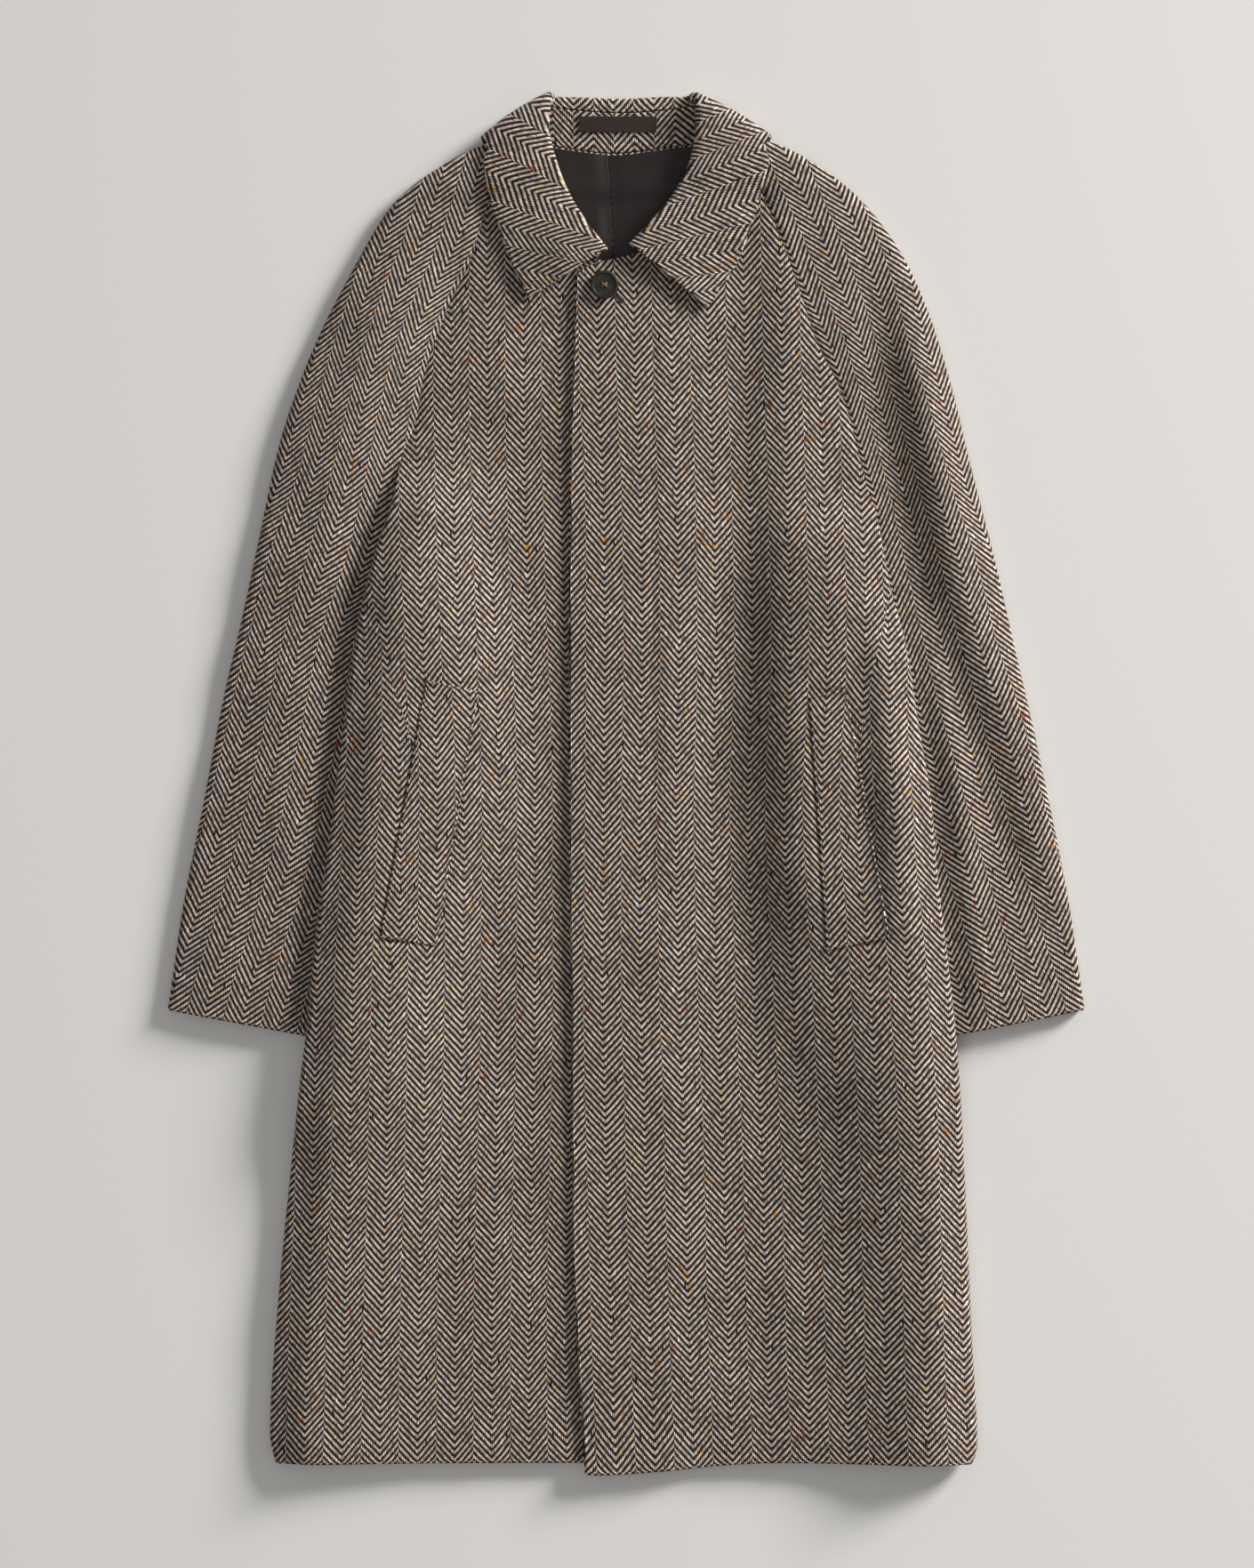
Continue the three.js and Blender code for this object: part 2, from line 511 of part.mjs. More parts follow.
// Where the lip ends and the stand starts, and the way the cloth runs there
function standSeam({ up, roll, edge, neck }) {
  const outward = edge.clone().addScaledVector(up, -COLLAR_CREASE).sub(roll).normalize();
  const foot = roll.clone().addScaledVector(up, -COLLAR_CREASE);
  const lip = Math.min(LIP.width, foot.distanceTo(neck) * LIP.share);
  const spot = foot.addScaledVector(outward, lip);
  const way = neck.clone().sub(spot).normalize().add(outward).normalize();
  return { spot, way };
}

// Fall: down the lip's edge at the stand, round the roll and out to the edge
function fallPoints(stations) {
  const { roll: arc, flat } = FALL_CELLS;
  return stations.map((station) => {
    const { up, roll, edge } = station;
    const top = roll.clone().addScaledVector(up, COLLAR_CREASE);
    const inward = top.clone().sub(edge).normalize();
    const { spot, way } = standSeam(station);
    spot.across = way.clone().negate();
    const row = [spot];
    for (let i = arc; i > 0; i--) {
      const turn = Math.PI * i / arc;
      row.push(roll.clone().addScaledVector(up, COLLAR_CREASE * Math.cos(turn))
        .addScaledVector(inward, COLLAR_CREASE * Math.sin(turn)));
    }
    for (let i = 0; i <= flat; i++) {
      const bulge = station.bulge * Math.sin(Math.PI * i / flat);
      row.push(top.clone().lerp(edge, i / flat).addScaledVector(up, bulge));
    }
    return row;
  });
}

// Stand: from the lip down to the neck seam
function standPoints(stations) {
  return stations.map((station) => {
    const { spot, way } = standSeam(station);
    const from = spot.clone().addScaledVector(way, STAND_GAP.flat + STAND_GAP.turning * station.turning);
    const to = station.neck;
    const row = [];
    for (let i = 0; i <= CELLS.stand; i++) row.push(from.clone().lerp(to, i / CELLS.stand));
    row[0].across = way;
    row[CELLS.stand].across = to.clone().sub(from).setZ(0).normalize();
    return row;
  });
}

// Height of a mesh's upper face at a place in plan
function topOf(mesh) {
  const ray = new THREE.Raycaster();
  const down = new THREE.Vector3(0, 0, -1);
  return (x, y) => {
    ray.set(new THREE.Vector3(x, y, 100), down);
    return ray.intersectObject(mesh)[0].point.z;
  };
}

// Pocket welt: a plate on its front, between four corners
function weltPoints({ low, top }, sign, front) {
  const height = topOf(front);
  return Array.from({ length: WELT.rows + 1 }, (_, j) => {
    const up = j / WELT.rows;
    const row = Array.from({ length: WELT.cols + 1 }, (_, i) => {
      const out = i / WELT.cols;
      const x = lerp(lerp(low.innerX, low.outerX, out), lerp(top.innerX, top.outerX, out), up);
      const y = lerp(lerp(low.innerY, low.outerY, out), lerp(top.innerY, top.outerY, out), up);
      return new THREE.Vector3(x, y, height(x, y) + WELT.gap + WELT.wall / 2);
    });
    return sign > 0 ? row : row.reverse();
  });
}

// Lining on the back, on one side of the centre back seam, in the back's own rows
function liningPoints(side, back) {
  const top = topOf(back);
  return LEVELS.filter((y) => y > LINING.bottom).map((level) => {
    const t = (level - LINING.bottom) / (NECK_TOP - LINING.bottom);
    const half = side.sign * lerp(LINING.bottomHalf, LINING.topHalf, t);
    const seam = lerp(BACK_SEAM.bottomX, BACK_SEAM.topX, t) + side.sign * SEAM_GAP / 2;
    const row = Array.from({ length: CELLS.lining + 1 }, (_, i) => {
      const x = lerp(seam, half, i / CELLS.lining);
      const y = Math.min(backLevel(x, level), backLevel(x, NECK_TOP) - LINING.below);
      return new THREE.Vector3(x, y, top(x, y) + LINING.gap + LINING.wall / 2);
    });
    return side.sign > 0 ? row : row.reverse();
  }).reverse();
}

// Plain label on the stand
function labelPoints(stand) {
  const top = topOf(stand);
  return Array.from({ length: LABEL.rows + 1 }, (_, j) => {
    const y = lerp(LABEL.low, LABEL.high, j / LABEL.rows);
    return Array.from({ length: LABEL.cols + 1 }, (_, i) => {
      const x = lerp(LABEL.right, LABEL.left, i / LABEL.cols);
      return new THREE.Vector3(x, y, top(x, y) + LABEL.gap + LABEL.wall / 2);
    });
  });
}

// Closed geometry as a solid for cutting
function solid(geometry) {
  const bare = geometry.clone();
  bare.deleteAttribute('normal');
  bare.deleteAttribute('uv');
  const { attributes, index } = mergeVertices(bare);
  return new wasm.Manifold(new wasm.Mesh({
    numProp: 3, vertProperties: attributes.position.array, triVerts: new Uint32Array(index.array),
  }));
}

// Solid as a geometry
function geometryOf(cut) {
  const { vertProperties, triVerts } = cut.getMesh();
  const geometry = new THREE.BufferGeometry();
  geometry.setAttribute('position', new THREE.BufferAttribute(vertProperties, 3));
  geometry.setIndex(new THREE.BufferAttribute(triVerts, 1));
  geometry.computeVertexNormals();
  return geometry;
}

// Button: a turned disc with a raised rim and a dished middle, and four holes through it
function buttonGeometry() {
  const { radius, thick, edge, rim, dish } = BUTTON;
  const profile = [
    [0, 0], [radius - edge * 2, 0], [radius, edge * 1.5], [radius, thick - edge], [radius - edge, thick],
    [radius - rim, thick], [radius - rim - edge, thick - dish], [0, thick - dish],
  ].map(([r, z]) => new THREE.Vector2(r, z));
  const upright = (geometry) => geometry.rotateX(Math.PI / 2);
  let disc = solid(upright(new THREE.LatheGeometry(profile, 36)));
  for (const [i, j] of [[-1, -1], [-1, 1], [1, -1], [1, 1]]) {
    const pin = upright(new THREE.CylinderGeometry(BUTTON_HOLE.radius, BUTTON_HOLE.radius, thick * 3, 12));
    pin.translate(i * BUTTON_HOLE.spacing / 2, j * BUTTON_HOLE.spacing / 2, thick / 2);
    disc = disc.subtract(solid(pin));
  }
  return geometryOf(disc);
}

function material(name, color, roughness) {
  return new THREE.MeshStandardMaterial({ name, color, roughness, metalness: 0 });
}

const tweed = () => material('tweed', 0x756860, 0.95);
const coat = new THREE.Group();

function add(name, geometry, look) {
  const mesh = new THREE.Mesh(geometry, look);
  mesh.name = name;
  coat.add(mesh);
  return mesh;
}

const back = add('back', wallGeometry(backPoints(), WALL), tweed());
const fronts = {
  right: add('front_right', wallGeometry(frontRightPoints(), WALL), tweed()),
  left: add('front_left', wallGeometry(frontLeftPoints(), WALL), tweed()),
};
for (const [name, side] of Object.entries(SIDES)) {
  add(`sleeve_back_${name}`, wallGeometry(sleevePoints(side, false, CELLS.sleeveBack), WALL), tweed());
  add(`sleeve_front_${name}`, wallGeometry(sleevePoints(side, true, CELLS.sleeveFront), WALL), tweed());
  const satin = material('lining', 0x302b2a, 0.6);
  add(`lining_${name}`, wallGeometry(liningPoints(side, back), LINING.wall), satin);
  const welt = weltPoints(WELTS[name], side.sign, fronts[name]);
  add(`pocket_welt_${name}`, wallGeometry(welt, WELT.wall), tweed());
}
const stations = collarStations(2);
add('collar_fall', wallGeometry(fallPoints(stations), WALL), tweed());
const stand = add('collar_stand', wallGeometry(standPoints(stations), WALL), tweed());
add('neck_label', wallGeometry(labelPoints(stand), LABEL.wall), material('label', 0x322620, 0.9));

const button = add('button', buttonGeometry(), material('button', 0x2e2c28, 0.5));
button.position.set(BUTTON.x, BUTTON.y, topOf(fronts.left)(BUTTON.x, BUTTON.y) + BUTTON.gap);

export default coat;
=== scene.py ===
import math
import bpy
import numpy as np
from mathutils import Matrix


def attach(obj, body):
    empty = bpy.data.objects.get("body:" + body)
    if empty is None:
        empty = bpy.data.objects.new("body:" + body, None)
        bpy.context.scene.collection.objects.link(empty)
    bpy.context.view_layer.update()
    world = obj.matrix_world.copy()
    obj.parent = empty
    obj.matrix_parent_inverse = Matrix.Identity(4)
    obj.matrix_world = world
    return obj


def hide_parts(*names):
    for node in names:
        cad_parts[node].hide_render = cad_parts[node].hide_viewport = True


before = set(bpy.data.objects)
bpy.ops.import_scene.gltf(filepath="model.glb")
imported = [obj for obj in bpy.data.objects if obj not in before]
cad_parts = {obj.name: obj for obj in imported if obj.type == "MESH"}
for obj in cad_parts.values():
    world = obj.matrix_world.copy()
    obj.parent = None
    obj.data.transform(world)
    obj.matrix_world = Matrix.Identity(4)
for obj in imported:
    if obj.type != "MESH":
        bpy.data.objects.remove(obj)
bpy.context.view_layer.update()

# A herringbone wool overcoat laid flat on its back and seen from straight above.
# Sizes are in millimetres and become metres in put_mesh. +X is the wearer's left, +Y the way to the collar.
MM = 0.001

# Cloth and layers. The air between layers, the fly's step and the welt's gap are the finished cloth's own,
# and most of the others are the part's.
WALL = 3.0
SEAM_GAP = 0.4
LAYER_AIR = 3.7
LEAST_AIR = 0.9
PUFF = 1.1
PUFF_ROW = 100.0
TUCK_CLEARANCE = 1.0
NECK_TOP = 530.0
BACK_NECK = dict(dip=7, middle=-10, half=68, start=470)
CUFF_INNER = -218.0
HEM = -564.0
HEM_DROP = dict(most=9.65, start=-500, at=-30, end=130, corner_end=-27, corner=-60)
UNDERLAP_EDGE = 24.0
FLY = dict(step=3.7, start=UNDERLAP_EDGE + 4, ramp=46)
FLY_EDGE = dict(puff=0.4, start=-46, end=-14)
FLY_CORNER = dict(start=-78, end=-50, low=445, high=475)
TUCK_RAMP = 112.0
TUCK_MARGIN = 14.0
TUCK_END = CUFF_INNER - 12
ARMPIT_RISE = 56.0
SLEEVE_CURL = dict(late=26, share=0.7)
BODY_SIDE = dict(start=1, end=30, below_armpit=10, above_armpit=30)
CUFF_FALL = 150.0
SIDE_ROLL = dict(lift=2.6, reach=105, top=20)
COLLAR_CREASE = 3.4
COLLAR_ROWS = dict(per_section=12, lip=(0, 0.4, 0.7), round=13, flat=17, stand=(0.12, 0.88, 9))
# Radians that a section of the collar has turned, past which it counts as behind the neck
BEHIND = dict(seam=math.pi * 0.994, stripes=1.5, stand=3.1)
COLLAR_LIFT = dict(height=3.6, start=478, end=500, reach=150, fade=60)
COLLAR_SPRING = 2.2
COLLAR_REST = 0.8
LIP = dict(width=7, share=0.45)
NECK_GAP = 0.9
STAND_GAP = dict(flat=0.75, turning=2.1)
FALL_BULGE = dict(height=2.5, start=90, end=180)

# Only in the finished cloth: how far it springs and swells beyond the part's own form
EDGE_SPRING = dict(height=1.6, start=0.55)
EDGE_RIPPLE = dict(height=0.5, along_y=13, along_x=21, start=0.3)
SIDE_SWELL = dict(most=7.0, peak=34, reach=140, below_armpit=(110, 10))
SLEEVE_SWELL = 3.4
SEAM_DITCH = dict(depth=0.9, half=2.6, below_armpit=20, above_armpit=10)
FLY_STITCH = dict(x=23.0, depth=0.8, half=3.2, top=372, top_fade=20, low=-60, low_fade=60)
FOLD_DEPTH = 1.5
FOLD_FALL = 1.6
POCKET_RECESS = dict(depth=1.9, across=(-5, 2), along=(-0.03, 0.01), past=0.2)
WAVES = dict(count=14, height=0.7, gain=1.6, shortest=34, longest=130, seed=5)
SOFT_LIMIT = 0.5

# Grid of the finished cloth
CELL = 4.2
BACK_CELL = 6.0
ROW_STEP = 4.3
END_ZONE = dict(width=7.0, cells=6)
FINE_ROWS = (456, 414)
FIRST_CELL = 2.1
ROUND_STEPS = 3
SEAM_EDGE = 0.45
FALL_ENDS = 0.8
FREE_EDGE = WALL / 2


def table(names, *rows):
    """A short table: each column's values by its name"""
    return {name: np.array(values, float) for name, values in zip(names.split(), zip(*rows))}


def tables(names, groups):
    """Several tables with the same columns, by their own names"""
    return {group: table(names, *rows) for group, rows in groups.items()}


# Lines in plan: the raglan seams and sides, the fronts' inner edges, each sleeve's tuck and outer fold, and
# the collar's roll, edge and neck lines with how far each section has turned to the back
SIDE_RIGHT = table("y x", (530, -97), (478, -115), (437, -129), (390, -150), (343, -167), (300, -175),
    (271, -186.5), (230, -195.5), (189, -209), (149, -219), (108, -226.5), (23, -237.5), (-51, -247),
    (-118, -257), (-192, -264), (-283, -274.5), (-422, -288.5), (-540, -296), (-566, -291))
SIDE_LEFT = table("y x", (530, 101), (493, 112.5), (437, 134), (393, 149), (371, 156), (326, 178),
    (293, 188), (249, 199), (223, 208), (163, 219), (119, 231), (51, 242), (-17, 253), (-85, 259),
    (-162, 268.5), (-236, 275.5), (-347, 282), (-458, 287), (-548, 291.5), (-566, 287))
INNER_RIGHT = table("y x", (530, -90), (500, -80), (470, -63), (450, -45), (438, -29), (434, -20),
    (430, -4), (421, 24), (-566, 24))
INNER_LEFT = table("y x", (530, 93), (500, 80), (470, 54), (450, 29), (442, 16), (438, 2), (430, -30),
    (421, -41.5), (356, -43.5), (282, -46), (134, -47.5), (-88, -46.5), (-273, -45), (-383, -44),
    (-454, -41), (-527, -37), (-566, -34))
SLEEVE_RIGHT = table("at tuck fold_x fold_y", (530, 0, -102, 536), (505, 0, -124, 528), (478, 0, -151, 514),
    (437, 0, -192, 483), (388, 0, -232, 418), (330, 0, -262, 357), (271, 0, -289, 279), (205, 6, -304, 209),
    (140, 34, -318.5, 141), (60, 62, -336, 65), (-20, 68, -350.5, -12), (-105, 62, -368, -100),
    (CUFF_INNER, 46, -381, -188))
SLEEVE_LEFT = table("at tuck fold_x fold_y", (530, 0, 106, 536), (505, 0, 127, 530), (478, 0, 156, 515),
    (437, 0, 196, 484), (388, 0, 236, 427), (330, 0, 263, 356), (249, 0, 289, 254), (187, 6, 306, 187),
    (125, 32, 321, 121), (55, 60, 336, 56), (-20, 66, 350.5, -12), (-105, 60, 368, -100),
    (CUFF_INNER, 46, 381, -188))
COLLAR = table("roll_x roll_y edge_x edge_y neck_x neck_y turn", (-19, 440, -81, 402, -26, 436, 0),
    (-36, 462, -94, 428, -47, 453, 0), (-51, 487, -106, 462, -66, 474, 0),
    (-62, 514, -115, 493, -81, 502, 0), (-68, 541, -118, 514, -90, 529.9, 0),
    (-67, 559, -115, 526, -95, 534, 0), (-64.5, 568.5, -120.5, 535, -99.5, 538, 90),
    (-59, 567, -112, 524, -90, 533, 180), (-38, 565.5, -62, 512, -56, 530, 180),
    (-3, 564, -3, 505, -3, 524.5, 180), (32, 566, 58, 512, 52, 530, 180),
    (50, 567.2, 112, 525, 90, 533, 180), (57, 568.5, 120.5, 536, 103.5, 539, 90),
    (61, 560, 115, 527, 98, 534, 0), (62, 541, 118, 516, 93, 530, 0), (57, 514, 113, 494, 81, 502, 0),
    (44, 488, 104, 462, 58, 474, 0), (25, 464, 90, 428, 35, 456, 0), (6, 444, 68, 394, 14, 441, 0))
WELT = dict(wall=2.0, gap=0.3, width=44, length=208, edge=6, first=1.6, rows=44, rounding=0.9, stitch=2.0)
# Each welt's corners: the lower inner and outer one, then the upper ones
WELTS = dict(
    right=np.array([[(-157, -134), (-203, -127)], [(-122, 76), (-165, 85)]], float),
    left=np.array([[(166, -138), (217, -127)], [(151, 72), (182, 78)]], float),
)
LINING = dict(wall=1.0, rounding=0.4, gap=0.4, below=1.5, bottom=429, top_half=93, bottom_half=44)
LINING_FULL = dict(height=1.5, seam=14, start=0.5, end=0.9)
LINING_WAVES = dict(height=0.5, seam=12, least=-0.2)
BACK_SEAM = dict(top_x=-15, bottom_x=-10)
LABEL = dict(wall=0.8, rounding=0.35, gap=0.4, right=-39, left=25.5, low=540.5, high=553.5, stitch=1.2,
             edge=(0, 0.8, 1.6), inside=4, columns=22)
BUTTON = dict(x=-18.0, y=413.0, radius=11.7, thick=3.8, dish=0.9, gap=0.6, spacing=3.7)

# Folds of the cloth as laid: along each line, its half width and its height (a trough is negative)
FOLDS = tables("x y half rise", dict(
    valley_beside_fly=((86, 440, 20, -0.6), (90, 300, 24, -1.6), (93, 180, 26, -1.8), (90, 0, 26, -1.6),
        (94, -120, 24, -1.4), (100, -280, 26, -0.4)),
    ridge_left_front=((128, 470, 26, 1.6), (133, 330, 28, 2.4), (136, 200, 34, 4.0), (134, 90, 30, 2.6),
        (134, -40, 32, 4.2), (140, -160, 34, 2.6), (150, -300, 50, 1.0)),
    valley_left_pocket=((186, 150, 16, -0.5), (192, 60, 20, -1.8), (200, -40, 20, -1.9),
        (206, -110, 18, -0.5)),
    ridge_outside_pocket=((214, 120, 16, 0.6), (220, 40, 20, 2.6), (226, -60, 20, 2.8), (232, -130, 20, 0.8)),
    lower_left_front=((236, -230, 100, 2.2), (240, -380, 120, 5.6), (236, -540, 110, 5.0)),
    hump_left_raglan=((164, 340, 20, 0.8), (172, 296, 20, 1.2)),
    left_sleeve_valley=((196, 420, 20, -0.8), (212, 330, 22, -2.2), (222, 250, 24, -2.6),
        (236, 180, 22, -2.2), (262, 100, 20, -1.8), (300, 0, 20, -1.6), (330, -90, 18, -0.8)),
    left_sleeve_ridge=((226, 420, 18, 1.2), (246, 330, 22, 4.0), (262, 250, 26, 6.0), (276, 170, 24, 4.4),
        (304, 90, 26, 4.0), (334, 0, 28, 3.8), (356, -90, 26, 3.0)),
    left_sleeve_inner_ridge=((250, 130, 14, 0.8), (262, 60, 20, 3.0), (276, -60, 22, 3.4),
        (290, -160, 22, 1.6)),
    right_sleeve_valley=((-146, 412, 18, -0.8), (-166, 350, 22, -1.6), (-186, 280, 20, -1.0)),
    right_sleeve_ridge=((-196, 420, 26, 1.0), (-226, 300, 30, 1.8), (-262, 150, 34, 1.4),
        (-300, -20, 36, 1.0)),
    right_front_ridge=((-168, 270, 34, 0.8), (-158, 180, 40, 1.6), (-150, 60, 36, 0.8)),
    right_lower_front=((-160, -220, 60, 0.8), (-170, -380, 90, 2.4), (-176, -530, 80, 2.0)),
))

LINING_CREASE = table("x y half rise", (4, 503, 4, 0.3), (22, 514, 5, 1.0), (40, 525, 4, 0.5))

# Darts from the side towards each pocket: the line, and how far the stripes jump across it
DART_ENDS = dict(low=(-165, -150), high=(190, 200))
DARTS = tables("y x jump", dict(
    right=((200, -220, 12.6), (173, -213, 12.6), (97, -197.6, 10.6), (24, -177.5, 6.8), (-44, -189, 2.9),
        (-127, -203, 1.0), (-160, -207, 0)),
    left=((200, 224, -13), (144, 215, -12.8), (70, 199, -10), (15.5, 193, -4.3), (-29, 200, 0),
        (-160, 222, 0)),
))

# Herringbone: the place of one valley of the zigzag at each height, and the width of a stripe
STRIPE = 15.76
REPEAT = 5.88
ENDS = 12
STRIPES = tables("y x pitch", dict(
    front_left=((560, -28, 15.3), (341, -23.4, 15.32), (237.5, -19, 15.25), (119, -17.7, 15.36),
        (-14, -18.9, 15.0), (-162, -19.8, 15.77), (-310, -16.5, 16.15), (-458, -12.5, 16.15),
        (-580, -7.5, 16.13)),
    front_right=((560, -85.4, 14.9), (341, -85.4, 14.92), (237.5, -84, 14.8), (119, -79.8, 14.7),
        (-14, -75.9, 14.6), (-162, -75.95, 14.95), (-310, -78.4, 15.0), (-458, -81, 15.24),
        (-580, -80.4, 15.53)),
    sleeve_right=((560, -135, 14.8), (452, -170, 14.9), (408, -187.7, 13.6), (363, -204.3, 12.9),
        (319, -216.3, 13.0), (252, -231, 14.2), (186, -248.6, 16.0), (119, -269.8, 14.8),
        (52.5, -283.5, 15.5), (-14, -298, 15.8), (-103, -322.3, 16.2), (-169.5, -343.2, 15.9),
        (-230, -359, 15.9)),
    sleeve_left=((560, 115, 15.5), (496.5, 142.5, 15.5), (452, 162.2, 15.4), (408, 179, 14.8),
        (363, 195.4, 13.2), (319, 209.3, 13.1), (252, 228.5, 12.8), (186, 245.2, 14.6), (119, 261.4, 14.9),
        (52.5, 278.9, 16.3), (-14, 296.7, 16.1), (-103, 323, 15.9), (-169.5, 343, 16.6), (-230, 359, 16.6)),
    back=((600, 0, 15.76), (-600, 0, 15.76)),
))
# How far the weft leans on each piece
SKEW = dict(front_left=0.03, front_right=-0.065, sleeve_right=0.262, sleeve_left=-0.262, back=0.0)
# On the leaves of the collar: the height of a stripe's edge at the leaf's middle, and its slope there
LEAF_STRIPES = tables("line y slope", dict(
    right=((-4, 394, -0.1), (-3, 409.6, -0.15), (-2, 424.4, -0.2), (-1, 441, -0.25), (0, 455.8, -0.31),
        (1, 471, -0.38), (2, 491, -0.46), (3, 508, -0.52), (4, 527, -0.55), (5, 544.6, -0.577),
        (7, 580, -0.6)),
    left=((-5, 395, 0.1), (-4, 409.6, 0.12), (-3, 423.5, 0.145), (-2, 440.1, 0.19), (-1, 458.6, 0.25),
        (0, 475.3, 0.3), (1, 494.7, 0.365), (2, 511.3, 0.39), (3, 526.1, 0.41), (4, 540.9, 0.43),
        (5, 555.7, 0.45), (7, 586, 0.46)),
))
LEAF_MIDDLE = 80.7
# Where the first upright stripe lies behind the neck, and their width
FALL_STRIPES = dict(first=-43.7, pitch=16.6)
STAND_STRIPES = dict(first=-27.1, pitch=16.9)
WELT_OFFSET = dict(right=7.5, left=0.0)

# The weave: how far its lines stray, the picks to a repeat, and the shape of a float in its cell
STRAY = dict(across=0.10, along=0.34)
PICKS = 4.0
FLOAT = dict(start=1.15, slant=0.95, scatter=0.45, narrow=0.38, wide=0.56, half=1.12, side=2.4, tip=2.6,
             outer=1.12, inner=0.62, dome=1.25)
SLUB = dict(above=0.984, swell=0.55)
WEAVE_DEPTH = dict(warp=0.8, weft=0.18, fuzz=0.35, metres=0.00042)
LIGHT_YARN = (0.73, 0.61, 0.53)
DARK_YARN = (0.025, 0.0165, 0.0125)
FLOOR = dict(colour=(0.80, 0.788, 0.768), half=2600, level=-0.2)
KEY = dict(spot=(6.0, 4.4, 2.35), size=2.2, watts=1000, colour=(1, 0.985, 0.96))
FILL = dict(spot=(-1.2, -0.6, 4.2), size=3.0, watts=22, colour=(1, 1, 1))
ROOM = dict(colour=(1, 0.99, 0.98, 1), strength=0.24)
CAMERA = dict(spot=(0.0007, -0.0004, 3.2), wide=36.0, covers=1.305)


def curve(rows, key, name):
    """Cubic through one column of a table against its key column. Its slope at a row is the harmonic mean
    of the slopes beside it, or 0 where they differ in sign, so that it never overshoots."""
    order = np.argsort(rows[key])
    at, value = rows[key][order], rows[name][order]
    rise = np.diff(value) / np.diff(at)
    slope = np.concatenate([rise[:1], np.zeros(len(rise) - 1), rise[-1:]])
    before, after = rise[:-1], rise[1:]
    same = before * after > 0
    slope[1:-1][same] = (2 * before * after)[same] / (before + after)[same]

    def read(where):
        w = np.clip(where, at[0], at[-1])
        i = np.clip(np.searchsorted(at, w) - 1, 0, len(at) - 2)
        span = at[i + 1] - at[i]
        f = (w - at[i]) / span
        g = 1 - f
        return (value[i] * g * g * (1 + 2 * f) + value[i + 1] * f * f * (3 - 2 * f)
                + span * f * g * (slope[i] * g - slope[i + 1] * f))

    return read


def smooth(start, end, value):
    """0 at start, 1 at end, with a soft start and end between them"""
    t = np.clip((value - start) / (end - start), 0, 1)
    return t * t * (3 - 2 * t)


def lerp(a, b, t):
    """The way from a to b, shared evenly by t"""
    return a + (b - a) * t


class Side:
    """Everything that depends on the side of the body"""

    def __init__(self, name, sign, seam, inner, sleeve, armpit):
        self.name, self.sign, self.armpit = name, sign, armpit
        self.seam, self.inner = curve(seam, "y", "x"), curve(inner, "y", "x")
        self.tuck, self.fold_x, self.fold_y = (curve(sleeve, "at", k) for k in ("tuck", "fold_x", "fold_y"))


RIGHT = Side("right", -1, SIDE_RIGHT, INNER_RIGHT, SLEEVE_RIGHT, 271)
LEFT = Side("left", 1, SIDE_LEFT, INNER_LEFT, SLEEVE_LEFT, 249)


def by_side(x, read):
    """A side's value for each place: the right one where x is negative, and otherwise the left one"""
    return np.where(x < 0, read(RIGHT), read(LEFT))


def armpit_beside(x, y):
    """Height of the armpit on each place's side of the body"""
    return by_side(x, lambda s: s.armpit + 0 * y)


def inside_seam(x, y):
    """How far a place lies inside its side's seam"""
    return by_side(x, lambda s: s.sign * (s.seam(y) - x))


def neck_lift(x, y):
    """The back of the collar lies below the coat at the neck and lifts every layer there"""
    along = smooth(COLLAR_LIFT["start"], COLLAR_LIFT["end"], y)
    across = 1 - smooth(COLLAR_LIFT["reach"], COLLAR_LIFT["reach"] + COLLAR_LIFT["fade"], np.abs(x))
    return COLLAR_LIFT["height"] * along * across


def body_lift(x, y):
    """Height of the body's layers over the tucked sleeve, and the soft roll of the side"""
    out = np.abs(x)
    edge = by_side(x, lambda s: s.sign * s.seam(y))
    armpit = armpit_beside(x, y)
    tuck = by_side(x, lambda s: np.maximum(s.tuck(y), 0))
    along = 1 - smooth(armpit - ARMPIT_RISE, armpit, y)
    below = smooth(TUCK_END - CUFF_FALL, TUCK_END, y)
    inner = edge - tuck
    over = smooth(inner - TUCK_RAMP, inner - TUCK_MARGIN, out)
    sleeve = 2 * WALL + LAYER_AIR + PUFF + TUCK_CLEARANCE
    roll = SIDE_ROLL["lift"] * smooth(edge - SIDE_ROLL["reach"], edge - SIDE_ROLL["top"], out) * (1 - below)
    return along * (sleeve * over * below + roll)


def fold_height(fold, x, y):
    """Rounded hill along a fold's line: the height is rise * exp(-(distance / half)^2 * FOLD_FALL), where
    half and rise run evenly along each stretch, and the stretch with the most height or depth counts"""
    best = np.zeros(np.broadcast(x, y).shape)
    for k in range(len(fold["x"]) - 1):
        x0, y0, x1, y1 = fold["x"][k], fold["y"][k], fold["x"][k + 1], fold["y"][k + 1]
        dx, dy = x1 - x0, y1 - y0
        t = np.clip(((x - x0) * dx + (y - y0) * dy) / (dx * dx + dy * dy), 0, 1)
        away = np.hypot(x - x0 - dx * t, y - y0 - dy * t)
        half, rise = (lerp(fold[name][k], fold[name][k + 1], t) for name in ("half", "rise"))
        here = rise * np.exp(-FOLD_FALL * (away / half) ** 2)
        best = np.where(np.abs(here) > np.abs(best), here, best)
    return best


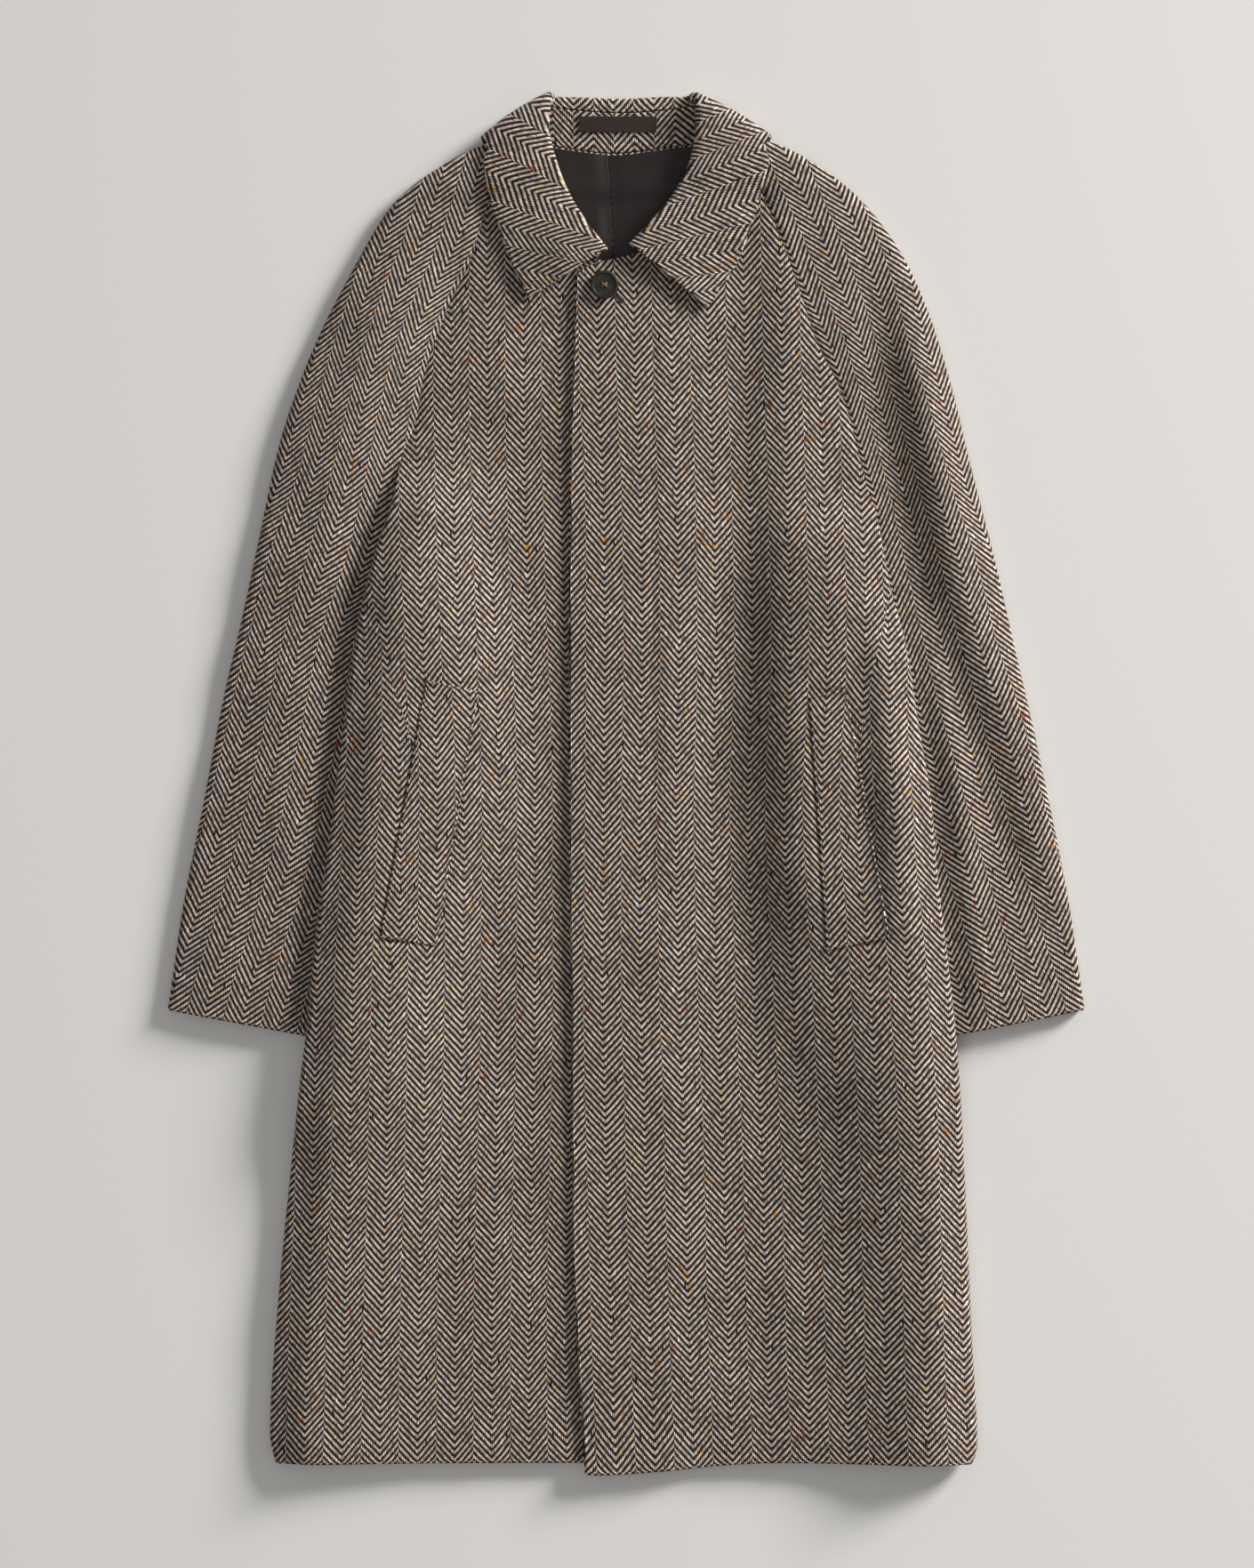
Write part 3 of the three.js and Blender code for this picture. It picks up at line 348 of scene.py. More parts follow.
def cloth_waves(x, y):
    """Faint unevenness of cloth laid by hand: a sum of sine waves in seeded directions"""
    rng = np.random.default_rng(WAVES["seed"])
    total = 0 * (x + y)
    for _ in range(WAVES["count"]):
        length = math.exp(rng.uniform(math.log(WAVES["shortest"]), math.log(WAVES["longest"])))
        angle, phase = rng.uniform(0, math.pi), rng.uniform(0, 2 * math.pi)
        way = x * math.cos(angle) + y * math.sin(angle)
        total = total + length / WAVES["longest"] * np.sin(way * 2 * math.pi / length + phase)
    return WAVES["height"] * total / math.sqrt(WAVES["count"]) * WAVES["gain"]


def pocket_recess(x, y):
    """The front gives way below each welt, so that the welt lies nearly level with it"""
    total = 0 * (x + y)
    past, across, along = (POCKET_RECESS[name] for name in ("past", "across", "along"))
    for side in (RIGHT, LEFT):
        low, top = WELTS[side.name]
        up = (y - (low[0, 1] + low[1, 1]) / 2) / ((top[0, 1] + top[1, 1] - low[0, 1] - low[1, 1]) / 2)
        up = np.clip(up, -past, 1 + past)
        inner, outer = lerp(low[0, 0], top[0, 0], up), lerp(low[1, 0], top[1, 0], up)
        out = side.sign * (x - inner)
        width = side.sign * (outer - inner)
        share = smooth(*across, out) * smooth(*across, width - out)
        total = total + share * smooth(*along, up) * smooth(*along, 1 - up)
    return -POCKET_RECESS["depth"] * total


def relief(x, y):
    """All folds together, the faint waves and the recess below each welt"""
    folds = sum(fold_height(fold, x, y) for fold in FOLDS.values())
    return FOLD_DEPTH * folds + cloth_waves(x, y) + pocket_recess(x, y)


def at_least(least, value):
    """value, but never below least: least plus the logarithm of one plus the exponential of what is above
    it"""
    return least + SOFT_LIMIT * np.logaddexp(0, (value - least) / SOFT_LIMIT)


def side_swell(x, y):
    """The body's front swells beside its side and rolls down to it"""
    inside = inside_seam(x, y)
    start, end = (armpit_beside(x, y) - below for below in SIDE_SWELL["below_armpit"])
    peak, reach = SIDE_SWELL["peak"], SIDE_SWELL["reach"]
    swell = smooth(0, peak, inside) * (1 - smooth(peak, reach, inside))
    return SIDE_SWELL["most"] * swell * (1 - smooth(start, end, y))


def seam_ditch(x, y):
    """Shallow ditch along the raglan seam: depth * exp(-(distance / half)^2) above the armpit"""
    armpit = armpit_beside(x, y)
    above = smooth(armpit - SEAM_DITCH["below_armpit"], armpit + SEAM_DITCH["above_armpit"], y)
    return -SEAM_DITCH["depth"] * np.exp(-(inside_seam(x, y) / SEAM_DITCH["half"]) ** 2) * above


def sleeve_back(x, y):
    """Middle of the sleeve's back half: on the floor, or on the collar at the neck"""
    return WALL / 2 + neck_lift(x, y)


def outside_body(x, y):
    """0 where the sleeve lies below the body's side and 1 well outside it; 1 above the armpit"""
    armpit = armpit_beside(x, y)
    above = smooth(armpit - BODY_SIDE["below_armpit"], armpit + BODY_SIDE["above_armpit"], y)
    return np.maximum(smooth(BODY_SIDE["start"], BODY_SIDE["end"], -inside_seam(x, y)), above)


def sleeve_front(x, y, puff=0.0):
    """Middle of the sleeve's front half: the back half, a wall, the air with its folds and puff, and the
    seam"""
    free = outside_body(x, y)
    air = at_least(LEAST_AIR, LAYER_AIR + relief(x, y) * free + puff)
    return sleeve_back(x, y) + WALL + air + seam_ditch(x, y) * free


def body_back(x, y):
    """Middle of the back: on the floor, over the tucked sleeves at the sides and on the collar at the neck"""
    return WALL / 2 + neck_lift(x, y) + body_lift(x, y)


def body_front(x, y):
    """Middle of the right front, and of the left one beyond the underlap: the back, a wall, and the air"""
    air = at_least(LEAST_AIR, LAYER_AIR + relief(x, y) + side_swell(x, y))
    return body_back(x, y) + WALL + air + seam_ditch(x, y)


def over_front(x, y):
    """The left front over the right one: up by the step over the underlap, and its edge a little more"""
    over = 1 - smooth(FLY["start"], FLY["start"] + FLY["ramp"], x)
    edge = 1 - smooth(FLY_EDGE["start"], FLY_EDGE["end"], x)
    groove = np.exp(-((x - FLY_STITCH["x"]) / FLY_STITCH["half"]) ** 2)
    groove = groove * smooth(FLY_STITCH["low"] - FLY_STITCH["low_fade"], FLY_STITCH["low"], y)
    groove = groove * (1 - smooth(FLY_STITCH["top"], FLY_STITCH["top"] + FLY_STITCH["top_fade"], y))
    return body_front(x, y) + over * FLY["step"] + edge * FLY_EDGE["puff"] - FLY_STITCH["depth"] * groove


def curl_at(side, y):
    """How much of a side's edge is curled to the other layer: none at the armpit and all of it well below"""
    return smooth(0, 1, (side.armpit - y) / ARMPIT_RISE)


def back_level(x, y):
    """Height of a back row at x, with the back neck dipping in its middle"""
    dip = BACK_NECK["dip"] * (1 - smooth(0, BACK_NECK["half"], np.abs(x - BACK_NECK["middle"])))
    return y - dip * smooth(BACK_NECK["start"], NECK_TOP, y)


def hem_drop(x, y):
    """The hem drops towards the fly"""
    drop = HEM_DROP["most"] * (1 - smooth(HEM_DROP["at"], HEM_DROP["end"], x))
    return drop * smooth(HEM_DROP["corner"], HEM_DROP["corner_end"], x) * smooth(HEM_DROP["start"], HEM, y)


def fold_end(x, y, way_x, way_y, curl, height, partner):
    """A folded end of a row: how far from the edge its flat stretch stops, the arc's radius, how far the
    arc turns, the height of its centre and the height where it starts. The radius is half the way to the
    other layer, found in a few rounds."""
    stop = curl * math.pi / 2

    def half_way(d):
        return np.abs(height(x + way_x * d, y + way_y * d) - partner(x + way_x * d, y + way_y * d)) / 2

    radius = half_way(0 * x)
    for _ in range(3):
        radius = half_way((WALL / 2 + radius) * np.sin(stop))
    start = (WALL / 2 + radius) * np.sin(stop)
    top = height(x + way_x * start, y + way_y * start)
    below = partner(x + way_x * start, y + way_y * start)
    turn = np.minimum(stop, np.arccos(np.clip(SEAM_GAP / 2 / radius, 0, 1)))
    return start, radius, turn, (top + below) / 2, top


def cloth_rows(ax, ay, bx, by, curl_a, curl_b, height, partner, swell=None, cell=CELL):
    """Rows of middle points from edge a to edge b, even along the cloth but closer near both ends. Where
    an end is curled, the row ends in an arc that turns towards the other layer. Returns the points, and
    the places in plan that they would have if the arcs were rolled out."""
    length = np.hypot(bx - ax, by - ay)
    way_x, way_y = (bx - ax) / length, (by - ay) / length
    start_a, radius_a, turn_a, centre_a, top_a = fold_end(ax, ay, way_x, way_y, curl_a, height, partner)
    start_b, radius_b, turn_b, centre_b, top_b = fold_end(bx, by, -way_x, -way_y, curl_b, height, partner)
    arc_a, arc_b = radius_a * turn_a, radius_b * turn_b
    total = arc_a + arc_b + length - start_a - start_b
    zone = np.minimum(END_ZONE["width"], total / 3)
    many = max(4, int(round((length.max() - 2 * END_ZONE["width"]) / cell)))
    ends = np.linspace(0, 1, END_ZONE["cells"] + 1)
    col = lambda a: a[:, None]
    middle = lerp(col(zone), col(total - zone), np.linspace(0, 1, many + 1))
    s = np.concatenate([col(zone) * ends[:-1], middle, col(total) - col(zone) * ends[::-1][1:]], axis=1)
    flat = col(start_a - arc_a) + s
    turn_of_a = np.clip((col(arc_a) - s) / col(radius_a), 0, math.pi / 2)
    turn_of_b = np.clip((s - col(total - arc_b)) / col(radius_b), 0, math.pi / 2)
    d = np.where(turn_of_a > 0, col(start_a) - col(radius_a) * np.sin(turn_of_a), flat)
    d = np.where(turn_of_b > 0, col(length - start_b) + col(radius_b) * np.sin(turn_of_b), d)
    x, y = col(ax) + col(way_x) * d, col(ay) + col(way_y) * d
    z = swell(x, y, d / col(length), col(length)) if swell else height(x, y)
    z = np.where(turn_of_a > 0, col(centre_a) + col(top_a - centre_a) * np.cos(turn_of_a), z)
    z = np.where(turn_of_b > 0, col(centre_b) + col(top_b - centre_b) * np.cos(turn_of_b), z)
    rolled = np.stack([col(ax) + col(way_x) * flat, col(ay) + col(way_y) * flat], axis=-1)
    return np.stack([x, y, z], axis=-1), rolled


def unit(v):
    """Each vector over its length"""
    return v / np.maximum(np.linalg.norm(v, axis=-1, keepdims=True), 1e-9)


def grid_normals(points):
    """Normal at each point of a grid: across times along, from the differences between its neighbours"""
    return unit(np.cross(np.gradient(points, axis=1), np.gradient(points, axis=0)))


def rim_of(grid):
    """The edge points of a grid, once round"""
    return np.concatenate([grid[0, :-1], grid[:-1, -1], grid[-1, :0:-1], grid[:0:-1, 0]])


def wall_mesh(points, wall, rounding):
    """Closed wall round a grid of middle points. The two faces lie half a wall to each side. The edge is
    drawn in by the rounding and closed by a strip whose corners are quarter circles. rounding is one
    value, or one for each of the sides first row, last column, last row and first column. Returns points,
    quads, and each point's grid place."""
    rows, cols = points.shape[:2]
    normals = grid_normals(points)
    half = wall / 2
    r0, c1, r1, c0 = rounding if np.ndim(rounding) else (rounding,) * 4
    out = np.zeros_like(points)
    for edge, inner, size in ((np.s_[0, :], np.s_[1, :], r0), (np.s_[-1, :], np.s_[-2, :], r1),
                              (np.s_[:, -1], np.s_[:, -2], c1), (np.s_[:, 0], np.s_[:, 1], c0)):
        out[edge] += unit(points[edge] - points[inner]) * size
    rim_out = rim_of(out)
    size = np.linalg.norm(rim_out, axis=-1, keepdims=True)
    away = unit(rim_out)
    inset = points - out
    rim, rim_normal = rim_of(inset), rim_of(normals)
    turns = np.linspace(0, math.pi / 2, ROUND_STEPS + 1)[1:]
    both_faces = [(1, t) for t in turns] + [(-1, t) for t in turns[::-1]]
    rings = [rim + away * size * math.sin(t) + face * rim_normal * (half - size * (1 - math.cos(t)))
             for face, t in both_faces]
    ids = np.arange(rows * cols).reshape(rows, cols)
    rim_ids = rim_of(ids)
    top, low = inset + normals * half, inset - normals * half
    vertices = np.concatenate([top.reshape(-1, 3), low.reshape(-1, 3), *rings])
    place = np.concatenate([ids.ravel(), ids.ravel(), *[rim_ids] * len(rings)])
    quad = np.stack([ids[:-1, :-1], ids[:-1, 1:], ids[1:, 1:], ids[1:, :-1]], axis=-1).reshape(-1, 4)
    count, around = rows * cols, len(rim_ids)
    ring_ids = [2 * count + k * around + np.arange(around) for k in range(len(rings))]
    loops = [rim_ids, *ring_ids, count + rim_ids]
    strips = [np.stack([a, b, np.roll(b, -1), np.roll(a, -1)], axis=-1) for a, b in zip(loops, loops[1:])]
    return vertices, np.concatenate([quad, quad[:, ::-1] + count, *strips]), place


def put_mesh(name, vertices, faces, material, maps=None, smooth_faces=True):
    """A mesh object from millimetres, with its faces turned outwards, and its maps: a pair of values for
    each vertex. The faces point outwards where the volume of the pyramids from the origin to them is
    positive."""
    faces = np.asarray(faces)
    a, b, c = (vertices[faces[:, k]] for k in (0, 1, 2))
    signed = np.einsum("ij,ij->i", a, np.cross(b, c)).sum()
    if faces.shape[1] == 4:
        d = vertices[faces[:, 3]]
        signed += np.einsum("ij,ij->i", a, np.cross(c, d)).sum()
    if signed < 0:
        faces = faces[:, ::-1]
    mesh = bpy.data.meshes.new(name)
    mesh.vertices.add(len(vertices))
    mesh.vertices.foreach_set("co", (vertices * MM).astype(np.float32).ravel())
    mesh.loops.add(faces.size)
    mesh.loops.foreach_set("vertex_index", faces.astype(np.int32).ravel())
    mesh.polygons.add(len(faces))
    mesh.polygons.foreach_set("loop_start", np.arange(0, faces.size, faces.shape[1], dtype=np.int32))
    mesh.polygons.foreach_set("use_smooth", np.full(len(faces), smooth_faces))
    mesh.update(calc_edges=True)
    for map_name, values in (maps or {}).items():
        corners = values[faces.ravel()]
        mesh.uv_layers.new(name=map_name).data.foreach_set("uv", corners.astype(np.float32).ravel())
    mesh.validate()
    mesh.materials.append(material)
    return put_object(name, mesh)


def put_object(name, data, spot=(0, 0, 0)):
    """An object in the scene from its mesh, lamp or lens"""
    piece = bpy.data.objects.new(name, data)
    piece.location = spot
    bpy.context.scene.collection.objects.link(piece)
    return piece


def stripe_place(name, plan, offset=0.0):
    """Where a place in plan lies in the herringbone: stripes across from a valley of the zigzag, and
    repeats along the warp. The offset slides a welt's stripes against the front's."""
    x, y = plan[..., 0], plan[..., 1]
    rows = STRIPES[name]
    across = (x - offset - curve(rows, "y", "x")(y)) / curve(rows, "y", "pitch")(y)
    lean = SKEW[name]
    along = (y + lean * x) / math.hypot(1, lean) if name.startswith("sleeve") else y + lean * x
    return np.stack([across, along / REPEAT], axis=-1)


def dart_place(side, plan):
    """How far a place lies outside its side's dart line, and the stripes' jump there, in stripes"""
    rows = DARTS[side.name]
    x, y = plan[..., 0], plan[..., 1]
    out = side.sign * (x - curve(rows, "y", "x")(y))
    inside = smooth(*DART_ENDS["low"], y) * (1 - smooth(*DART_ENDS["high"], y))
    jump = curve(rows, "y", "jump")(y) / STRIPE * inside
    return np.stack([out, jump], axis=-1)


def cloth_piece(node, points, weave, rounding, dart=None, wall=WALL):
    """One piece of tweed from its grid, with its places in the herringbone and beside the dart"""
    vertices, faces, place = wall_mesh(points, wall, rounding)
    dart = 0 * weave if dart is None else dart
    maps = dict(weave=weave.reshape(-1, 2)[place], dart=dart.reshape(-1, 2)[place])
    return put_mesh(node + "_cloth", vertices, faces, TWEED, maps)


def plain_piece(node, points, wall, rounding, material):
    """One piece of lining or ribbon from its grid"""
    vertices, faces, _ = wall_mesh(points, wall, rounding)
    return put_mesh(node + "_cloth", vertices, faces, material)


# Rows and columns of the main pieces

def edge_steps(width, first=FIRST_CELL):
    """Distances from an edge inwards: a first cell wide enough for the rounding, then even ones"""
    return np.concatenate([[0], np.linspace(first, width, END_ZONE["cells"])])


def levels(low, fine=()):
    """Heights of rows from a free lower edge up to the neck, closer beside that edge and between the two
    of fine"""
    stops = [NECK_TOP, *fine, low + END_ZONE["width"]]
    parts = []
    for k, (a, b) in enumerate(zip(stops, stops[1:])):
        step = ROW_STEP / 2 if fine and k == 1 else ROW_STEP
        parts.append(np.linspace(a, b, max(1, round(abs(a - b) / step)), endpoint=False))
    return np.concatenate([*parts, low + edge_steps(END_ZONE["width"])[::-1]])[::-1]


BODY_LEVELS = levels(HEM, FINE_ROWS)


def body_outer(side, y):
    """Where the body's edge runs at a side, half a seam's gap inside the seam line"""
    return side.seam(y) - side.sign * SEAM_GAP / 2


def front_right():
    """Rows from the right side to the underlap's edge"""
    y = BODY_LEVELS
    return cloth_rows(body_outer(RIGHT, y), y, RIGHT.inner(y), y, curl_at(RIGHT, y), 0 * y,
                      body_front, body_back)


def front_left():
    """Rows from the fly's edge to the left side, with the hem's drop"""
    y = BODY_LEVELS
    points, plan = cloth_rows(LEFT.inner(y), y, body_outer(LEFT, y), y, 0 * y, curl_at(LEFT, y),
                              over_front, body_back)
    points[..., 1] -= hem_drop(points[..., 0], y[:, None])
    return points, plan


def back():
    """Rows from the right side to the left one, with the neck's dip"""
    y = BODY_LEVELS
    points, plan = cloth_rows(body_outer(RIGHT, y), y, body_outer(LEFT, y), y,
                              curl_at(RIGHT, y), curl_at(LEFT, y), body_back, body_front, cell=BACK_CELL)
    points[..., 1] = back_level(points[..., 0], y[:, None])
    return points, plan


def sleeve_half(side, is_front):
    """Front or back half of a sleeve: from the raglan seam or the tucked fold out to the arm's fold"""
    at = levels(CUFF_INNER)
    height, partner = (sleeve_front, sleeve_back) if is_front else (sleeve_back, sleeve_front)

    def swell(x, y, t, length):
        most = lerp(PUFF, SLEEVE_SWELL, outside_body(x, y)) * np.minimum(length / PUFF_ROW, 1)
        return sleeve_front(x, y, most * np.sin(math.pi * t))

    beside = np.where(at > side.armpit - 1, SEAM_GAP / 2, SEAM_GAP)
    inner = side.seam(at) + side.sign * (beside - side.tuck(at))
    late = smooth(0, 1, (side.armpit - SLEEVE_CURL["late"] - at) / (ARMPIT_RISE * SLEEVE_CURL["share"]))
    ends = [(inner, at, late), (side.fold_x(at), side.fold_y(at), 1 + 0 * at)]
    if side.sign < 0:
        ends.reverse()
    (ax, ay, curl_a), (bx, by, curl_b) = ends
    return cloth_rows(ax, ay, bx, by, curl_a, curl_b, height, partner, swell if is_front else None)


def carrier(x, y):
    """The layer that the collar lies on: the left front's top corner also carries part of the right leaf"""
    corner = smooth(FLY_CORNER["start"], FLY_CORNER["end"], x)
    corner = corner * (1 - smooth(FLY_CORNER["low"], FLY_CORNER["high"], y))
    left = over_front(x, y)
    return np.where(x > 0, left, lerp(body_front(x, y), left, corner))


def vector(x, y, z):
    """Points from their three coordinates"""
    return np.stack(np.broadcast_arrays(x, y, z), axis=-1).astype(float)


def collar_stations():
    """Sections across the collar: fold line, edge and neck point in space, and the way from inner to outer
    cloth"""
    key = np.arange(len(COLLAR["turn"]), dtype=float)
    rows = dict(COLLAR, key=key)
    at = np.linspace(0, key[-1], int(key[-1]) * COLLAR_ROWS["per_section"] + 1)
    roll_x, roll_y, edge_x, edge_y, neck_x, neck_y, turn = (
        curve(rows, "key", name)(at) for name in "roll_x roll_y edge_x edge_y neck_x neck_y turn".split())
    turn = np.radians(turn)
    along = unit(np.stack([edge_x - roll_x, edge_y - roll_y], axis=-1))
    outward = np.stack([-along[:, 1], along[:, 0]], axis=-1)
    outward *= np.where(outward[:, 1:] < 0, -1, 1)
    up = vector(outward[:, 0] * np.sin(turn), outward[:, 1] * np.sin(turn), np.cos(turn))
    front = (1 + np.cos(turn)) / 2
    beside = by_side(neck_x, lambda s: s.inner(neck_y) - s.sign * NECK_GAP)
    neck_x = np.where((neck_y < NECK_TOP) & (turn < math.pi / 2), beside, neck_x)
    neck_y = np.where(turn > BEHIND["seam"], back_level(neck_x, NECK_TOP) + NECK_GAP, neck_y)
    neck_front = carrier(neck_x, neck_y)
    roll_z = lerp(WALL / 2 + COLLAR_CREASE, neck_front + COLLAR_SPRING + COLLAR_CREASE, front)
    edge_z = lerp(WALL / 2, carrier(edge_x, edge_y) + WALL + COLLAR_REST, front)
    own_front = np.where(neck_x < 0, body_front(neck_x, neck_y), neck_front)
    neck_z = lerp(body_back(neck_x, neck_y), own_front, front)
    return dict(up=up, turn=turn, roll=vector(roll_x, roll_y, roll_z), edge=vector(edge_x, edge_y, edge_z),
                neck=vector(neck_x, neck_y, neck_z), front=front)


def stand_seam(stations):
    """Where the lip ends and the stand starts, and the way the cloth runs there"""
    up, roll, edge, neck = (stations[k] for k in ("up", "roll", "edge", "neck"))
    foot = roll - up * COLLAR_CREASE
    outward = unit(edge - up * COLLAR_CREASE - roll)
    lip = np.minimum(LIP["width"], np.linalg.norm(neck - foot, axis=-1) * LIP["share"])[:, None]
    spot = foot + outward * lip
    return spot, unit(unit(neck - spot) + outward)


def collar_fall(stations):
    """Down the lip's edge at the stand, round the roll and out to the edge, where the fall springs up a
    little"""
    up, roll, edge, turn = (stations[k] for k in ("up", "roll", "edge", "turn"))
    up, roll, edge = up[:, None], roll[:, None], edge[:, None]
    spot, _ = stand_seam(stations)
    foot, top = roll - up * COLLAR_CREASE, roll + up * COLLAR_CREASE
    inward = unit(top - edge)
    lip = lerp(spot[:, None], foot, np.array(COLLAR_ROWS["lip"])[None, :, None])
    angle = np.linspace(math.pi, 0, COLLAR_ROWS["round"])[None, :, None]
    arc = roll + up * COLLAR_CREASE * np.cos(angle) + inward * COLLAR_CREASE * np.sin(angle)
    length = np.linalg.norm(edge - top, axis=-1)
    zone = edge_steps(END_ZONE["width"])[::-1]
    flat = np.linspace(0, 1, COLLAR_ROWS["flat"])[1:-1]
    share = np.concatenate([(1 - END_ZONE["width"] / length) * flat, 1 - zone[None] / length], axis=1)
    share = share[..., None]
    bulge = FALL_BULGE["height"] * (1 - smooth(FALL_BULGE["start"], FALL_BULGE["end"], np.degrees(turn)))
    rise = bulge[:, None, None] * np.sin(math.pi * share)
    spring = EDGE_SPRING["height"] * stations["front"] ** 2
    rise = rise + spring[:, None, None] * smooth(EDGE_SPRING["start"], 1, share)
    points = np.concatenate([lip, arc, lerp(top, edge, share) + up * rise], axis=1)
    outwards = np.concatenate([0 * lip[..., 0], 0 * arc[..., 0], share[..., 0]], axis=1)
    ripple = np.sin(points[..., 1] / EDGE_RIPPLE["along_y"] + points[..., 0] / EDGE_RIPPLE["along_x"])
    ripple = EDGE_RIPPLE["height"] * ripple * smooth(EDGE_RIPPLE["start"], 1, outwards)
    return points + up * (ripple * stations["front"][:, None])[..., None]


def collar_stand(stations):
    """From the lip down to the neck seam"""
    spot, way = stand_seam(stations)
    gap = STAND_GAP["flat"] + STAND_GAP["turning"] * np.sin(stations["turn"])
    start = spot + way * gap[:, None]
    share = np.concatenate([[0], np.linspace(*COLLAR_ROWS["stand"]), [1]])[None, :, None]
    return lerp(start[:, None], stations["neck"][:, None], share)


def leaf_stripes(side, x, y):
    """Place in the herringbone on a leaf of the collar: the slanted stripe lines are met by a few rounds.
    The warp's place is the way along the line from the leaf's middle, plus the climb of the lines' middles"""
    rows = LEAF_STRIPES[side.name]
    line, slope = curve(rows, "y", "line"), curve(rows, "line", "slope")
    off = x - side.sign * LEAF_MIDDLE
    n = line(y)
    for _ in range(5):
        n = line(y - slope(n) * off)
    steps = np.linspace(-8, 10, 181)
    heights = curve(rows, "line", "y")(steps)
    lean = np.sin(np.arctan(slope(steps)))
    climb = np.concatenate([[0], (np.diff(heights) * (lean[1:] + lean[:-1]) / 2).cumsum()])
    along = off * np.hypot(1, slope(n)) + np.interp(n, steps, climb)
    return np.stack([n, along / REPEAT], axis=-1)


def collar_place(stations, points, first, pitch):
    """Upright stripes behind the neck, and the leaves' own slanted ones in front"""
    x, y = points[..., 0], points[..., 1]
    steps = np.linalg.norm(np.diff(points, axis=1), axis=-1)
    run = np.concatenate([[[0]] * len(points), steps], axis=1).cumsum(axis=1)
    behind = np.stack([(x - first) / pitch, run / REPEAT], axis=-1)
    leaf = np.where((x < 0)[..., None], leaf_stripes(RIGHT, x, y), leaf_stripes(LEFT, x, y))
    return np.where((stations["turn"] > BEHIND["stripes"])[:, None, None], behind, leaf)


def with_edges(edge, length, inside):
    """Shares of a length: close steps beside both edges, and the given ones between them"""
    steps = edge_steps(edge, WELT["first"]) / length
    return np.concatenate([steps, inside, 1 - steps[::-1]])


def welt_shape(side):
    """Strip between the welt's four corners, on the front's own height"""
    low, top = WELTS[side.name]
    up = with_edges(END_ZONE["width"], WELT["length"], np.linspace(0.05, 0.95, WELT["rows"]))[:, None, None]
    out = with_edges(WELT["edge"], WELT["width"], [0.25, 0.38, 0.5, 0.62, 0.75])[None, :, None]
    place = lerp(lerp(low[0], low[1], out), lerp(top[0], top[1], out), up)
    if side.sign < 0:
        place = place[:, ::-1]
    x, y = place[..., 0], place[..., 1]
    front = over_front(x, y) if side.sign > 0 else body_front(x, y)
    return vector(x, y, front + WALL / 2 + WELT["gap"] + WELT["wall"] / 2)


def lining_half(side):
    """Satin on the back, on one side of the centre back seam, slightly full, and rolled in at the seam"""
    level = np.linspace(NECK_TOP, LINING["bottom"], 40)[::-1, None]
    t = (level - LINING["bottom"]) / (NECK_TOP - LINING["bottom"])
    half = side.sign * lerp(LINING["bottom_half"], LINING["top_half"], t)
    seam = lerp(BACK_SEAM["bottom_x"], BACK_SEAM["top_x"], t) + side.sign * SEAM_GAP / 2
    out = np.concatenate([[0, 0.02, 0.035, 0.05, 0.07], np.linspace(0.1, 1, 34)])[None]
    x = lerp(seam, half, out)
    y = np.minimum(back_level(x, level), back_level(x, NECK_TOP) - LINING["below"])
    away = np.abs(x - seam)
    full = LINING_FULL["height"] * smooth(0, LINING_FULL["seam"], away)
    full = full * (1 - smooth(LINING_FULL["start"], LINING_FULL["end"], out))
    waves = np.sin(x / 9 + y / 16) * np.sin(y / 23 - x / 31)
    waves = LINING_WAVES["height"] * waves * smooth(0, LINING_WAVES["seam"], away)
    laid = body_back(x, level) + WALL / 2 + LINING["gap"] + LINING["wall"] / 2
    z = laid + full + np.maximum(waves, LINING_WAVES["least"]) + fold_height(LINING_CREASE, x, y)
    points = vector(x, y, z)
    return points if side.sign > 0 else points[:, ::-1]


def stand_height(stations, x, y):
    """Height of the stand's middle at a row of places behind the neck"""
    grid = collar_stand(stations)[stations["turn"] > BEHIND["stand"]]
    start, end = grid[:, 0], grid[:, -1]
    share = ((y - start[:, 1]) / (end[:, 1] - start[:, 1]))[:, None]
    line = lerp(start, end, share)
    return np.interp(x, line[:, 0], line[:, 2])


def label_shape(stations):
    """Flat strip on the stand's own height"""
    edge = np.array(LABEL["edge"])
    inside = np.linspace(LABEL["right"] + LABEL["inside"], LABEL["left"] - LABEL["inside"], LABEL["columns"])
    x = np.concatenate([LABEL["right"] + edge, inside, LABEL["left"] - edge[::-1]])
    rows = np.concatenate([[0, 0.06, 0.14], np.linspace(0.25, 0.75, 5), [0.86, 0.94, 1]])
    y = lerp(LABEL["low"], LABEL["high"], rows)
    z = np.stack([stand_height(stations, x, level) for level in y])
    return vector(x[None], y[:, None], z + WALL / 2 + LABEL["gap"] + LABEL["wall"] / 2)


# Materials

